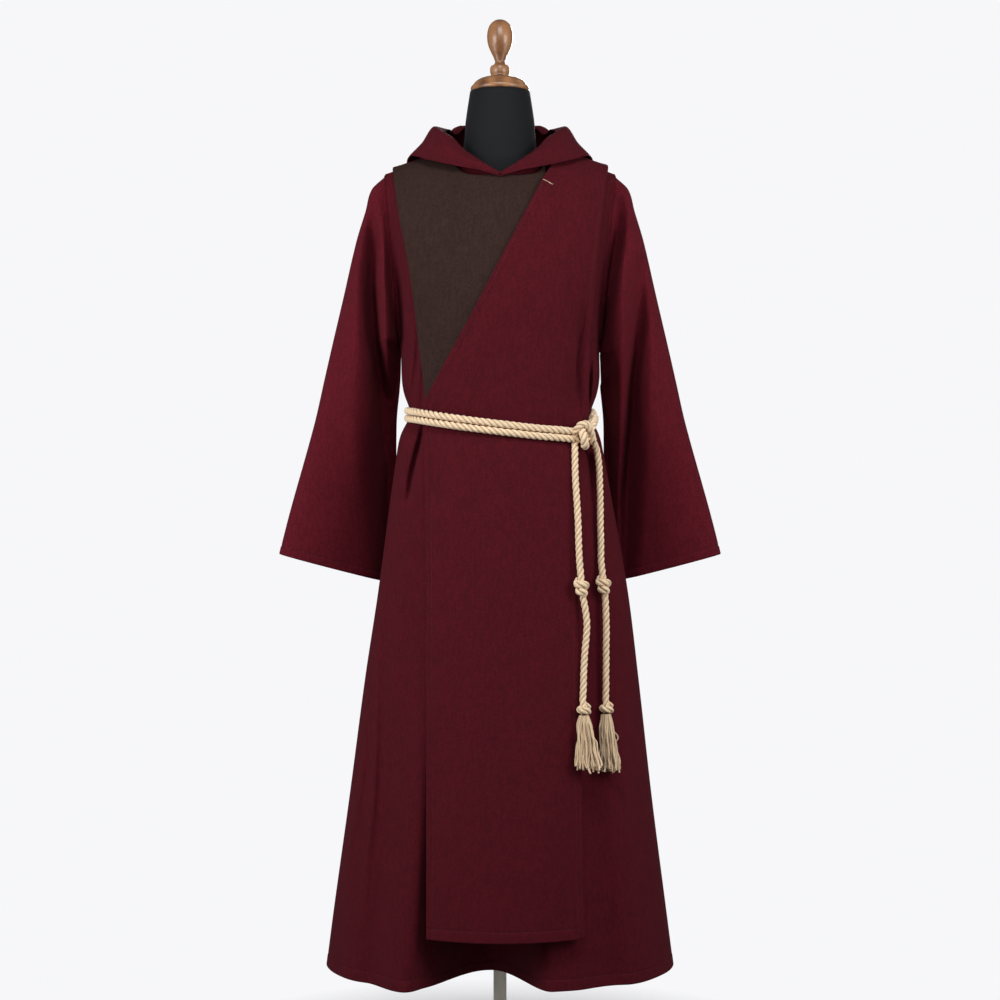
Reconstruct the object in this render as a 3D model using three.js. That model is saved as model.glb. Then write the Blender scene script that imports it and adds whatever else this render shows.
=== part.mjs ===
// A monk's habit on a dress form: a hooded wool robe, a scapular (the long apron worn over it) with a
// brown under-front, and a rope cincture tied at the wearer's left with two knotted, tasselled ends.
// Millimetres, +Z up, the wearer faces -Y, the origin is the middle of the stand's underside.
import * as THREE from "three";

// ---------- Driving dimensions ----------

const SEAM_GAP = 0.3; // between two pieces that are sewn together
const ROBE_CLOTH = 2.2; // thickness of the robe's wool
const SCAPULAR_CLOTH = 2; // thickness of the scapular's wool
const ROPE_RADIUS = 6.1;
const ROPE_SIDES = 8;

const HEM_Z = 147; // the robe's hem above the floor
const UNDERARM_Z = 1165;
const SHOULDER_X = 190; // where the shoulder seam meets the sleeve
const NECK_X = 78; // half width of the robe's neck opening
const NECK_SIDE_Z = 1483; // shoulder seam at the neck
const SHOULDER_SLOPE = 0.337; // drop of the shoulder seam per millimetre outwards
const FRONT_NECK_DROP = 54; // middle of the neckline below its sides, in front
const BACK_NECK_DROP = 8;
const SHOULDER_ROUND = 110; // the shoulder is rounded over this height
// Powers of the curves: 2 is an ellipse, more is squarer.
const SHOULDER_POWER = 1.8;
const SECTION_POWER = 2.1;
const FOLD_EDGE_POWER = 6; // the folds keep their depth almost to the side seam
const OVAL_POWER = 0.9; // of the neck opening, the armhole and the sleeve's rings
const ARMHOLE_PULL_POWER = 14; // the chest bends out to the armhole only close to it
const NECK_RISE_POWER = 6; // the scapular's neckline is flat, then climbs to the shoulder

// Sections of the robe at each height: half width, depth before and behind the side seams, sideways
// shift. Above the underarm the half width is where the section would close if it had no armhole.
const BODY = [
  { z: 147, half: 285, front: 230, back: 234, shift: 0 },
  { z: 240, half: 273, front: 216, back: 220, shift: 0 },
  { z: 420, half: 249, front: 190, back: 195, shift: 1 },
  { z: 617, half: 225, front: 164, back: 169, shift: 3 },
  { z: 756, half: 206, front: 147, back: 151, shift: 5 },
  { z: 900, half: 184, front: 133, back: 135, shift: 2 },
  { z: 1000, half: 168, front: 122, back: 121, shift: 0 },
  { z: 1060, half: 160, front: 117, back: 113, shift: 0 },
  { z: 1110, half: 161, front: 120, back: 112, shift: 1 },
  { z: 1165, half: 165.2, front: 123, back: 112, shift: 0 },
  { z: 1240, half: 184, front: 128, back: 116, shift: 0 },
  { z: 1300, half: 200, front: 124, back: 116, shift: 0 },
  { z: 1380, half: 206, front: 112, back: 112, shift: 0 },
  { z: 1440, half: 206, front: 98, back: 104, shift: 0 },
  { z: 1520, half: 206, front: 84, back: 90, shift: 0 },
];

// Folds of the skirt, deepest at the hem. `at`, `left` and `right` are shares of the half width,
// `depth` is inwards (negative for a ridge) and `head` is the height where the fold dies out.
const FRONT_FOLDS = [
  { at: -0.05, left: 0.44, right: 0.335, depth: 165, head: 800 },
  { at: -0.54, left: 0.2, right: 0.13, depth: -28, head: 900 },
  { at: -0.7, left: 0.13, right: 0.13, depth: 11, head: 780 },
  { at: -0.84, left: 0.12, right: 0.12, depth: -12, head: 860 },
  { at: 0.58, left: 0.17, right: 0.15, depth: 10, head: 700 },
  { at: 0.78, left: 0.14, right: 0.14, depth: -8, head: 760 },
];
const BACK_FOLDS = [
  { at: 0.1, left: 0.3, right: 0.28, depth: 74, head: 780 },
  { at: 0.46, left: 0.22, right: 0.2, depth: -24, head: 880 },
  { at: -0.3, left: 0.2, right: 0.22, depth: -20, head: 900 },
  { at: -0.62, left: 0.2, right: 0.2, depth: 28, head: 720 },
  { at: 0.76, left: 0.15, right: 0.15, depth: 14, head: 660 },
];
const FOLD_FADE = 1.3;

// The rope's height where it crosses the front of the robe; behind, it runs level.
const FRONT_BELT = [
  { x: -160, z: 1049 },
  { x: -113, z: 1040 },
  { x: -48, z: 1029 },
  { x: 63, z: 1016 },
  { x: 118, z: 1012 },
  { x: 141, z: 1023 },
  { x: 160, z: 1046 },
];
const BACK_BELT_Z = 1051;
const CINCH_SIDE = 18; // how far the rope pulls the cloth in at the sides
const CINCH_DEPTH = 6; // and before and behind
const CINCH_REACH = 34; // height over which the cloth is drawn in

// The sleeve's rings: height of its inner and outer edge, how far its front and back bulge from the
// line between them, and how far each edge hangs back. The first ring is the armhole.
const ARMHOLE_LEAN_FROM = 60; // degrees up from the underarm where both walls share a direction
const ARMHOLE_LEAN_SIDE = 0.34; // its sideways share
const SLEEVE = [
  { inner: 1165, outer: 1441, front: 70, back: 78, innerBack: 0, outerBack: 0 },
  { inner: 1163, outer: 1420, front: 72, back: 84, innerBack: 1, outerBack: 1 },
  { inner: 1158, outer: 1384, front: 72, back: 87, innerBack: 3, outerBack: 2 },
  { inner: 1149, outer: 1334, front: 69, back: 83, innerBack: 7, outerBack: 4 },
  { inner: 1134, outer: 1272, front: 65, back: 70, innerBack: 14, outerBack: 6 },
  { inner: 1108, outer: 1200, front: 61, back: 64, innerBack: 26, outerBack: 9 },
  { inner: 1062, outer: 1115, front: 57, back: 58, innerBack: 48, outerBack: 14 },
  { inner: 985, outer: 1025, front: 53, back: 53, innerBack: 76, outerBack: 21 },
  { inner: 890, outer: 932, front: 50, back: 50, innerBack: 98, outerBack: 29 },
  { inner: 771, outer: 821, front: 46, back: 46, innerBack: 112, outerBack: 38 },
];
const SLEEVE_EDGES = [
  { z: 771, inner: 171, outer: 378 },
  { z: 821, inner: 172, outer: 367 },
  { z: 890, inner: 173, outer: 349 },
  { z: 1033, inner: 172, outer: 308 },
  { z: 1108, inner: 167.2, outer: 290.4 },
  { z: 1165, inner: 165.5, outer: 277 },
  { z: 1240, inner: 166, outer: 259 },
  { z: 1334, inner: 166, outer: 237 },
  { z: 1384, inner: 166, outer: 222 },
  { z: 1420, inner: 166, outer: 209 },
  { z: 1441, inner: 166, outer: 190 },
];
// Long drag folds of a sleeve: place round the ring in degrees from its inner edge towards the
// front, width in degrees, depth inwards and the heights between which it runs.
const SLEEVE_FOLDS = [
  { at: 52, width: 26, depth: 13, foot: 900, head: 1400 },
  { at: 98, width: 30, depth: -7, foot: 820, head: 1330 },
  { at: 300, width: 34, depth: 11, foot: 860, head: 1360 },
];

// Scapular: edges of the maroon front, of the brown under-front and of the back at each height.
const FRONT_EDGES = [
  { z: 226, left: -118, right: 126.5 },
  { z: 520, left: -119, right: 123 },
  { z: 860, left: -121, right: 119 },
  { z: 985, left: -122, right: 120 },
  { z: 1030, left: -122, right: 129 },
  { z: 1049, left: -121.5, right: 136 },
  { z: 1066, left: -116, right: 136 },
  { z: 1125, left: -85.5, right: 134.5 },
  { z: 1229, left: -31, right: 144 },
  { z: 1291, left: 1, right: 149 },
  { z: 1361, left: 37, right: 158 },
  { z: 1421, left: 68, right: 168 },
  { z: 1455, left: 84, right: 175 },
  { z: 1490, left: 86, right: 176 },
];
const YOKE_EDGES = [
  { z: 1062, left: -117, right: -88 },
  { z: 1084, left: -118.5, right: -78 },
  { z: 1144, left: -126, right: -47 },
  { z: 1216, left: -134, right: -9 },
  { z: 1293, left: -145.5, right: 31 },
  { z: 1361, left: -159, right: 54 },
  { z: 1421, left: -169, right: 71 },
  { z: 1458, left: -176, right: 71 },
  { z: 1490, left: -177, right: 71 },
];
const BACK_EDGES = [
  { z: 226, left: -122, right: 122 },
  { z: 860, left: -120, right: 120 },
  { z: 1040, left: -123, right: 123 },
  { z: 1220, left: -138, right: 138 },
  { z: 1361, left: -159, right: 159 },
  { z: 1455, left: -175, right: 175 },
  { z: 1490, left: -177, right: 177 },
];
// Places of the columns across these two panels, closest at the sides of the neck.
const YOKE_COLUMNS = [0, 0.13, 0.26, 0.36, 0.385, 0.41, 0.45, 0.53, 0.64, 0.76, 0.86, 0.93, 1];
const BACK_COLUMNS = [0, 0.14, 0.26, 0.29, 0.34, 0.42, 0.5, 0.58, 0.66, 0.71, 0.74, 0.86, 1];
const SETTLING_PASSES = 6;
const SCAPULAR_NECK_X = 84; // half width of the scapular's neck opening
const SCAPULAR_NECK_Z = 1427.5; // its lowest point in front
const SCAPULAR_BACK_NECK_Z = 1460;
const YOKE_LIFT = 5.2; // outer face of the under-front above the robe
const PANEL_LIFT = 10.2; // outer face of the over-front above the robe
const BACK_LIFT = 6.4; // outer face of the back above the robe, on the under-front's shoulder
const BACK_CLIMB = [40, 110]; // and between these places across it climbs to the over-front's height
const SWING_HEAD_Z = 960; // the panels hang free of the robe from this height down
// How far their edges and their middle hang clear of it at the foot.
const FRONT_SWING = { edge: 7, middle: 26 };
const BACK_SWING = { edge: 28, middle: 30 };

// The hood lies down on the shoulders. Each station holds the angle of its neck seam from the front,
// and the points of its low outer fold, its peak and its rim, for the wearer's right half.
const HOOD = [
  { turn: 0, low: [-0.5, -105, 1436], peak: [-0.5, -103, 1443], rim: [-0.5, -97, 1444] },
  { turn: 24, low: [-36, -104, 1441], peak: [-32, -97, 1453], rim: [-25, -88, 1454] },
  { turn: 46, low: [-73, -88, 1452], peak: [-67, -68, 1475], rim: [-58, -57, 1478] },
  { turn: 66, low: [-114, -61, 1468], peak: [-98, -34, 1503], rim: [-78, -29, 1500] },
  { turn: 88, low: [-149, -10, 1475], peak: [-109, 17, 1527], rim: [-91, 12, 1517] },
  { turn: 116, low: [-156, 66, 1452], peak: [-104, 76, 1533], rim: [-84, 62, 1530] },
  { turn: 148, low: [-100, 158, 1368], peak: [-64, 120, 1534], rim: [-52, 96, 1532] },
  { turn: 180, low: [-0.2, 192, 1306], peak: [-0.2, 136, 1532], rim: [-0.2, 106, 1531] },
];
const HOOD_ROWS = 10;
const HOOD_RISE = 0.16; // the cloth arches over the scapular by this share of its run from the seam
const HOOD_RISE_AT = 0.45; // and the arch is highest this share of the way
const NECKBAND_HEIGHT = 4;
const BAND_DEPTH = 97; // half depth of the oval that the neckband stands on

// The rope's pair of turns: the middle line between them, from the knot round the wearer's right.
const BELT_ROUTE = [
  [115.5, -100, 1012],
  [92, -115, 1014],
  [63, -125, 1016],
  [8, -133, 1022],
  [-48, -129, 1029],
  [-95, -114, 1036],
  [-131, -82, 1043],
  [-144, -50, 1046],
  [-151, -18, 1048],
  [-151, 24, 1050],
  [-134, 74, 1051],
  [-95, 106, 1051],
  [-35, 125, 1051],
  [35, 128, 1051],
  [95, 109, 1051],
  [135, 75, 1051],
  [151, 24, 1049],
  [153, -20, 1042],
  [147, -52, 1031],
];

const TURN_OFFSET = ROPE_RADIUS + 0.25; // each turn's middle above or below the pair's
const TURN_STEPS = 34; // lengths of straight tube in a turn
const CORD_STEPS = 9; // and in each stretch of a hanging end
const CORD_RADIUS = 5.6; // the hanging ends are drawn a little thinner by their own weight

const POINTS_A_TURN = 8;
// The knots are rope wound round an axis: two turns at the waist, fewer on the hanging ends.
const BELT_KNOT = {
  middle: [140, -97, 1012],
  along: [1, 0.55, 0.1],
  aside: [0, 0.5, 1],
  coil: 15,
  pitch: 11.9,
  turns: 2,
  radius: 5.6,
  steps: 24,
};
const MIDDLE_KNOT = {
  along: [0.1, 0, -1],
  aside: [1, 0.4, 0],
  coil: 7.6,
  pitch: 10.6,
  turns: 1.75,
  radius: 4.9,
  steps: 17,
};
const LAST_KNOT = {
  along: [0.05, 0, -1],
  aside: [-1, 0.5, 0],
  coil: 7.2,
  pitch: 9.8,
  turns: 1,
  radius: 4.5,
  steps: 12,
};
const TASSEL_NECK = 7.5; // half width of a tassel where it leaves its knot
const TASSEL_DROP = 13.2; // from the last knot's middle to the tassel's top
// How much of its flare a tassel has at each share of its length.
const TASSEL_FLARE = [
  { down: 0, share: 0 },
  { down: 0.12, share: 0.25 },
  { down: 0.5, share: 0.62 },
  { down: 1, share: 1 },
];

// The two hanging ends: middle of the knot to the first knot, then to the second, then the tassel.
const NEAR_END = {
  upper: [
    [120, -106, 990],
    [120, -111.5, 965],
    [120.5, -117, 940],
    [122, -121.5, 915],
    [123.5, -125.5, 889.5],
    [124.5, -130, 864.5],
    [125, -134, 839],
    [126, -138.5, 814],
    [128, -144, 789],
  ],
  middle: [129.5, -147, 770],
  lower: [
    [132, -148, 751.5],
    [135.5, -147.5, 731.5],
    [137.5, -148, 711.5],
    [136.5, -149, 691.5],
    [134.5, -151, 671.5],
    [133, -154, 651.5],
    [132, -157.5, 631.5],
    [131.5, -161, 612],
    [130.5, -165, 592],
  ],
  last: [132, -170, 578],
  tassel: { foot: [138, -192, 482], width: 47, depth: 26 },
};
const FAR_END = {
  upper: [
    [159, -68, 990],
    [160, -72, 964.5],
    [161, -76, 939.5],
    [161.5, -82.5, 914.5],
    [161.5, -89, 889.5],
    [161.5, -94, 864.5],
    [162, -97, 839],
    [162, -100, 813.5],
    [164, -108, 790.5],
  ],
  middle: [166, -112, 772],
  lower: [
    [168, -113, 754],
    [169, -116, 734],
    [169.5, -118.5, 714],
    [169.5, -121.5, 693.5],
    [169, -124, 673.5],
    [169, -126.5, 653.5],
    [168.5, -129, 633.5],
    [168.5, -131.5, 613],
    [168, -134, 593],
  ],
  last: [169, -137, 577],
  tassel: { foot: [175, -156, 481], width: 36, depth: 28 },
};

// The form under the cloth: an oval torso that closes in to the shoulders and rises to the neck.
const FORM = [
  { z: 852, half: 150, front: 104, back: 110 },
  { z: 920, half: 152, front: 106, back: 112 },
  { z: 1000, half: 138, front: 99, back: 100 },
  { z: 1045, half: 128, front: 95, back: 93 },
  { z: 1100, half: 134, front: 101, back: 95 },
  { z: 1170, half: 146, front: 111, back: 101 },
  { z: 1250, half: 155, front: 117, back: 104 },
  { z: 1310, half: 163, front: 112, back: 104 },
  { z: 1360, half: 170, front: 102, back: 100 },
  { z: 1400, half: 160, front: 88, back: 88 },
  { z: 1430, half: 130, front: 78, back: 76 },
  { z: 1450, half: 94, front: 70, back: 66 },
  { z: 1468, half: 67, front: 61, back: 59 },
  { z: 1500, half: 59, front: 57.5, back: 57.5 },
  { z: 1530, half: 57, front: 56, back: 56 },
  { z: 1581, half: 49.5, front: 49.5, back: 49.5 },
];
const POLE_RADIUS = 10.7;
const BASE_RADIUS = 175;
const BASE_HEIGHT = 12;

const POLE_TOP = FORM[0].z - SEAM_GAP;
// Profiles of the turned pieces: radius and height, from the axis out and back.
const NECK_CAP = [
  [0, 1581.4],
  [45, 1581.4],
  [48.2, 1584.5],
  [48.2, 1588],
  [46, 1592.5],
  [40, 1598.5],
  [31, 1603],
  [20, 1605.6],
  [0, 1606.2],
];
const FINIAL = [
  [0, 1606.5],
  [14.6, 1606.5],
  [15.8, 1612],
  [16.3, 1618],
  [14.8, 1624],
  [9.2, 1629],
  [8.2, 1632],
  [10.5, 1639],
  [15.5, 1648],
  [19.6, 1659],
  [21.3, 1671],
  [20.3, 1682],
  [16.4, 1692],
  [9.5, 1698.4],
  [0, 1700.6],
];
const BASE_PROFILE = [
  [0, 0],
  [BASE_RADIUS - 2, 0],
  [BASE_RADIUS, 2],
  [BASE_RADIUS, BASE_HEIGHT - 6],
  [BASE_RADIUS - 6, BASE_HEIGHT - 1.5],
  [BASE_RADIUS - 30, BASE_HEIGHT],
  [0, BASE_HEIGHT],
];

// ---------- Materials ----------

const finish = (color, roughness, metalness) =>
  new THREE.MeshStandardMaterial({ color, roughness, metalness });
const clothOf = (colour) => finish(colour, 0.95, 0);
const maroonWool = () => clothOf(0x5a1c26);
const brownWool = () => clothOf(0x3c2d26);
const naturalRope = () => clothOf(0xd9bd90);
const blackJersey = () => clothOf(0x1c2023);
const turnedWood = () => finish(0x8a5432, 0.35, 0);
const satinSteel = () => finish(0x9a9690, 0.35, 1);

// ---------- Helpers ----------

const point = (x, y, z) => new THREE.Vector3(x, y, z);
const clamp = THREE.MathUtils.clamp;
const lerp = THREE.MathUtils.lerp;
const radians = THREE.MathUtils.degToRad;
const degreesOf = THREE.MathUtils.radToDeg;

// A smooth curve through one column of a table whose rows rise by `key`, read at one place.
function smooth(table, key, column, at) {
  const last = table.length - 1;
  let i = 0;
  while (i < last - 1 && at > table[i + 1][key]) i += 1;
  const span = table[i + 1][key] - table[i][key];
  const t = clamp((at - table[i][key]) / span, 0, 1);
  const slope = (j) => {
    const before = table[Math.max(j - 1, 0)];
    const after = table[Math.min(j + 1, last)];
    return ((after[column] - before[column]) / (after[key] - before[key])) * span;
  };
  const start = table[i][column];
  const rise = table[i + 1][column] - start;
  const entry = slope(i);
  const exit = slope(i + 1);
  return start + t * (entry + t * (3 * rise - 2 * entry - exit + t * (entry + exit - 2 * rise)));
}

// One soft bump of height 1 that is 0 beyond -1 and 1.
function bump(t) {
  return Math.abs(t) < 1 ? (1 - t * t) ** 2 : 0;
}

// A wall of cloth whose outer face is the grid rows[i][j]. Rows climb and columns run so that the
// outside is on the viewer's side when columns go left to right. A closed wall joins its last column
// to its first. `leaning(i, j, natural)` may give the wall's direction at a seam, shared with the
// next piece, in place of the surface's own.
function clothWall(rows, thickness, { closed = false, leaning = () => null } = {}) {
  const high = rows.length;
  const wide = rows[0].length;
  const spans = closed ? wide : wide - 1;
  const normals = rows.map((row) => row.map(() => point(0, 0, 0)));
  const corner = (i, j) => rows[i][j % wide];
  for (let i = 0; i < high - 1; i += 1) {
    for (let j = 0; j < spans; j += 1) {
      const across = corner(i + 1, j + 1).clone().sub(corner(i, j));
      const up = corner(i + 1, j).clone().sub(corner(i, j + 1));
      const facing = across.cross(up);
      for (const [a, b] of [[i, j], [i + 1, j], [i, j + 1], [i + 1, j + 1]]) {
        normals[a][b % wide].add(facing);
      }
    }
  }
  const positions = [];
  const indices = [];
  for (const inside of [0, 1]) {
    for (let i = 0; i < high; i += 1) {
      for (let j = 0; j < wide; j += 1) {
        const natural = normals[i][j].normalize();
        const direction = leaning(i, j, natural) ?? natural;
        const p = rows[i][j].clone().addScaledVector(direction, -thickness * inside);
        positions.push(p.x, p.y, p.z);
      }
    }
  }
  const outer = (i, j) => i * wide + (j % wide);
  const inner = (i, j) => high * wide + outer(i, j);
  const quad = (a, b, c, d) => indices.push(a, b, c, a, c, d);
  for (let i = 0; i < high - 1; i += 1) {
    for (let j = 0; j < spans; j += 1) {
      quad(outer(i, j), outer(i, j + 1), outer(i + 1, j + 1), outer(i + 1, j));
      indices.push(inner(i, j), inner(i + 1, j + 1), inner(i, j + 1));
      indices.push(inner(i, j), inner(i + 1, j), inner(i + 1, j + 1));
    }
  }
  for (let j = 0; j < spans; j += 1) {
    quad(outer(0, j), inner(0, j), inner(0, j + 1), outer(0, j + 1));
    quad(outer(high - 1, j + 1), inner(high - 1, j + 1), inner(high - 1, j), outer(high - 1, j));
  }
  if (!closed) {
    for (let i = 0; i < high - 1; i += 1) {
      quad(outer(i + 1, 0), inner(i + 1, 0), inner(i, 0), outer(i, 0));
      quad(outer(i, wide - 1), inner(i, wide - 1), inner(i + 1, wide - 1), outer(i + 1, wide - 1));
    }
  }
  const geometry = new THREE.BufferGeometry();
  geometry.setAttribute("position", new THREE.Float32BufferAttribute(positions, 3));
  geometry.setIndex(indices);
  return geometry;
}

const through = (points) => new THREE.CatmullRomCurve3(points, false, "centripetal");

// A rope of eight flats along a route of points.
function rope(route, radius, steps) {
  const path = through(route.map((p) => point(...p)));
  const section = new THREE.Shape();
  for (let k = 0; k < ROPE_SIDES; k += 1) {
    const angle = (2 * Math.PI * k) / ROPE_SIDES;
    section[k ? "lineTo" : "moveTo"](radius * Math.cos(angle), radius * Math.sin(angle));
  }
  section.closePath();
  return new THREE.ExtrudeGeometry(section, { steps, bevelEnabled: false, extrudePath: path });
}

// A turned piece: its profile is [radius, height] pairs that start and end on the axis.
function turned(profile, segments) {
  const lathe = new THREE.LatheGeometry(profile.map(([r, z]) => new THREE.Vector2(r, z)), segments);
  return lathe.rotateX(Math.PI / 2);
}

const habit = new THREE.Group();
function add(name, geometry, material) {
  const mesh = new THREE.Mesh(geometry, material);
  mesh.name = name;
  habit.add(mesh);
}

// ---------- The robe's surface ----------

// The ridge of the shoulders; between the neck's sides it goes on rising to where the neck would be.
const ridgeZ = (x) => NECK_SIDE_Z - SHOULDER_SLOPE * (Math.abs(x) - NECK_X);
const ridgeNormal = (x) => point(Math.sign(x) * SHOULDER_SLOPE, 0, 1).normalize();

function robeNeckZ(side, x) {
  const drop = side === "front" ? FRONT_NECK_DROP : BACK_NECK_DROP;
  const share = Math.sqrt(Math.max(0, 1 - (x / NECK_X) ** 2));
  return NECK_SIDE_Z - drop * share ** OVAL_POWER;
}

const robeTopZ = (side, x) => (Math.abs(x) < NECK_X ? robeNeckZ(side, x) : ridgeZ(x));

function beltZ(side, x) {
  return side === "front" ? smooth(FRONT_BELT, "x", "z", clamp(x, -160, 160)) : BACK_BELT_Z;
}

const cinchAt = (side, x, z) => bump(((z - beltZ(side, x)) / CINCH_REACH) ** 2);

function foldAt(side, x, z) {
  const half = smooth(BODY, "z", "half", z);
  const across = (x - smooth(BODY, "z", "shift", z)) / half;
  let inwards = 0;
  for (const fold of side === "front" ? FRONT_FOLDS : BACK_FOLDS) {
    const reach = across < fold.at ? fold.left : fold.right;
    const fade = clamp((fold.head - z) / (fold.head - HEM_Z), 0, 1) ** FOLD_FADE;
    inwards += fold.depth * fade * bump((across - fold.at) / reach);
  }
  return inwards;
}

// How far the robe stands before (or behind) the side seams; `folded` adds the skirt's folds.
function depthAt(side, x, z, folded) {
  const cinch = cinchAt(side, x, z);
  const depth = smooth(BODY, "z", side, z) - CINCH_DEPTH * cinch;
  const half = smooth(BODY, "z", "half", z) - CINCH_SIDE * cinch;
  const across = clamp(Math.abs(x - smooth(BODY, "z", "shift", z)) / half, 0, 1);
  const level = depth * (1 - across ** SECTION_POWER) ** (1 / SECTION_POWER);
  const below = clamp((ridgeZ(x) - z) / SHOULDER_ROUND, 0, 1);
  const rounded = level * (1 - (1 - below) ** SHOULDER_POWER) ** (1 / SHOULDER_POWER);
  const edge = Math.sqrt(Math.max(0, 1 - across ** FOLD_EDGE_POWER));
  return rounded - (folded ? foldAt(side, x, z) * edge : 0);
}

const outwards = (side) => (side === "front" ? -1 : 1);

// A point over the robe without its folds, `lift` outside it along the surface's normal.
function overRobe(side, x, z, lift) {
  const sign = outwards(side);
  const reach = 1.5; // the slope is read this far to each side
  const depth = (across, up) => depthAt(side, x + across, z + up, false);
  const slopeX = (depth(reach, 0) - depth(-reach, 0)) / (2 * reach);
  const slopeZ = (depth(0, reach) - depth(0, -reach)) / (2 * reach);
  const normal = point(-slopeX, sign, -slopeZ).normalize();
  return point(x, sign * depth(0, 0), z).addScaledVector(normal, lift);
}

// A point of one oval ring of the sleeve: from its inner edge (0) over the front to its outer edge
// (180 degrees), and back behind.
function sleevePoint(row, degrees) {
  const angle = radians(degrees);
  const swing = (1 - Math.cos(angle)) / 2;
  const z = lerp(row.inner, row.outer, swing);
  const x = lerp(
    smooth(SLEEVE_EDGES, "z", "inner", row.inner),
    smooth(SLEEVE_EDGES, "z", "outer", row.outer),
    swing,
  );
  const sine = Math.sin(angle);
  const bulge = (sine > 0 ? row.front : row.back) * Math.abs(sine) ** OVAL_POWER;
  let inwards = 0;
  for (const fold of SLEEVE_FOLDS) {
    const along = clamp((z - fold.foot) / (fold.head - fold.foot), 0, 1);
    inwards += fold.depth * Math.sin(Math.PI * along) * bump((degrees - fold.at) / fold.width);
  }
  const y = lerp(row.innerBack, row.outerBack, swing) - Math.sign(sine) * (bulge - inwards);
  return point(x, y, z);
}

// Half width of the robe at a height, the depth of the armhole's edge there, and how far round it is.
function armholeAt(side, z) {
  const row = SLEEVE[0];
  const share = clamp((z - row.inner) / (row.outer - row.inner), 0, 1);
  const angle = Math.acos(1 - 2 * share);
  return {
    x: lerp(smooth(SLEEVE_EDGES, "z", "inner", row.inner), SHOULDER_X, share) - SEAM_GAP,
    depth: row[side] * Math.sin(angle) ** OVAL_POWER,
    degrees: degreesOf(angle),
  };
}

// The direction both walls share along the armhole seam; low in the armhole each keeps its own.
function armholeLean(side, sideways, degrees) {
  if (degrees < ARMHOLE_LEAN_FROM) return null;
  const angle = radians(degrees);
  const up = Math.max(0, -Math.cos(angle));
  return point(ARMHOLE_LEAN_SIDE * sideways, outwards(side) * Math.sin(angle), up).normalize();
}

// ---------- Robe ----------

const ROBE_ROWS = [147, 205, 290, 400, 520, 640, 750, 850, 930, 985, 1012, 1030, 1048, 1072, 1100, 1132];
const ARMHOLE_STEPS = 9; // rows between underarm and shoulder, shared by the robe and the sleeve
const ROBE_UPPER_SHARES = [];
for (let k = 0; k <= ARMHOLE_STEPS; k += 1) {
  ROBE_UPPER_SHARES.push((1 - Math.cos((Math.PI * k) / ARMHOLE_STEPS)) / 2);
}

const spread = (u) => Math.sign(u) * Math.abs(Math.sin((u * Math.PI) / 2)) ** (2 / SECTION_POWER);
const unspread = (x) => (Math.sign(x) * Math.asin(Math.abs(x) ** (SECTION_POWER / 2)) * 2) / Math.PI;

// Places of the columns across a panel: even below, and drawn together at the neck's sides on top.
function robeColumns(side) {
  const neck = unspread(NECK_X / SHOULDER_X);
  const outside = side === "front" ? 6 : 5;
  const within = side === "front" ? 7 : 5;
  const half = [];
  for (let k = 0; k <= within; k += 1) {
    const share = k / within;
    const top = unspread((NECK_X / SHOULDER_X) * Math.sin((share * Math.PI) / 2));
    half.push({ foot: neck * share, top });
  }
  for (let k = 1; k <= outside; k += 1) {
    const u = lerp(neck, 1, k / outside);
    half.push({ foot: u, top: u });
  }
  const other = half.slice(1).reverse().map(({ foot, top }) => ({ foot: -foot, top: -top }));
  return [...other, ...half];
}

function robeSkirtPoint(side, column, z) {
  const u = column.foot;
  const shift = smooth(BODY, "z", "shift", z);
  const half = smooth(BODY, "z", "half", z);
  const x = shift + (half - CINCH_SIDE * cinchAt(side, half * spread(u), z)) * spread(u);
  const depth = Math.abs(u) === 1 ? SEAM_GAP / 2 : Math.max(depthAt(side, x, z, true), SEAM_GAP / 2);
  return point(x, outwards(side) * depth, z);
}

function robeUpperPoint(side, column, share) {
  const u = lerp(column.foot, column.top, share);
  let top = robeTopZ(side, SHOULDER_X * spread(column.top));
  if (Math.abs(u) === 1) top = SLEEVE[0].outer;
  const z = lerp(UNDERARM_Z, top, share);
  const armhole = armholeAt(side, z);
  const x = armhole.x * spread(u);
  const free = depthAt(side, x, z, true);
  const pull = Math.abs(spread(u)) ** ARMHOLE_PULL_POWER;
  const depth = Math.max(lerp(free, armhole.depth, pull), SEAM_GAP / 2);
  return point(x, outwards(side) * depth, z);
}

function robePanel(side) {
  const columns = robeColumns(side);
  if (side === "back") columns.reverse();
  const lower = ROBE_ROWS.map((z) => columns.map((column) => robeSkirtPoint(side, column, z)));
  const upper = ROBE_UPPER_SHARES.map((share) =>
    columns.map((column) => robeUpperPoint(side, column, share)),
  );
  const rows = [...lower, ...upper];
  const last = columns.length - 1;
  const leaning = (i, j) => {
    const x = rows[i][j].x;
    if (i === rows.length - 1 && Math.abs(x) >= NECK_X - 1) return ridgeNormal(x);
    if (j !== 0 && j !== last) return null;
    const along = armholeAt(side, rows[i][j].z).degrees;
    return armholeLean(side, Math.sign(x), along) ?? point(Math.sign(x), 0, 0);
  };
  return clothWall(rows, ROBE_CLOTH, { leaning });
}

function sleeve(side) {
  const around = 2 * ARMHOLE_STEPS;
  const rows = SLEEVE.map((row) => {
    const ring = [];
    for (let k = 0; k < around; k += 1) {
      const p = sleevePoint(row, (360 * k) / around);
      ring.push(side === "right" ? point(-p.x, p.y, p.z) : p);
    }
    return ring;
  });
  if (side === "left") rows.forEach((ring) => ring.reverse());
  const leaning = (i, j) => {
    if (i > 0) return null;
    const degrees = (360 * (side === "left" ? around - 1 - j : j)) / around;
    const sideways = side === "right" ? -1 : 1;
    if (degrees <= 180) return armholeLean("front", sideways, degrees);
    return armholeLean("back", sideways, 360 - degrees);
  };
  return clothWall(rows, ROBE_CLOTH, { closed: true, leaning });
}

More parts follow.
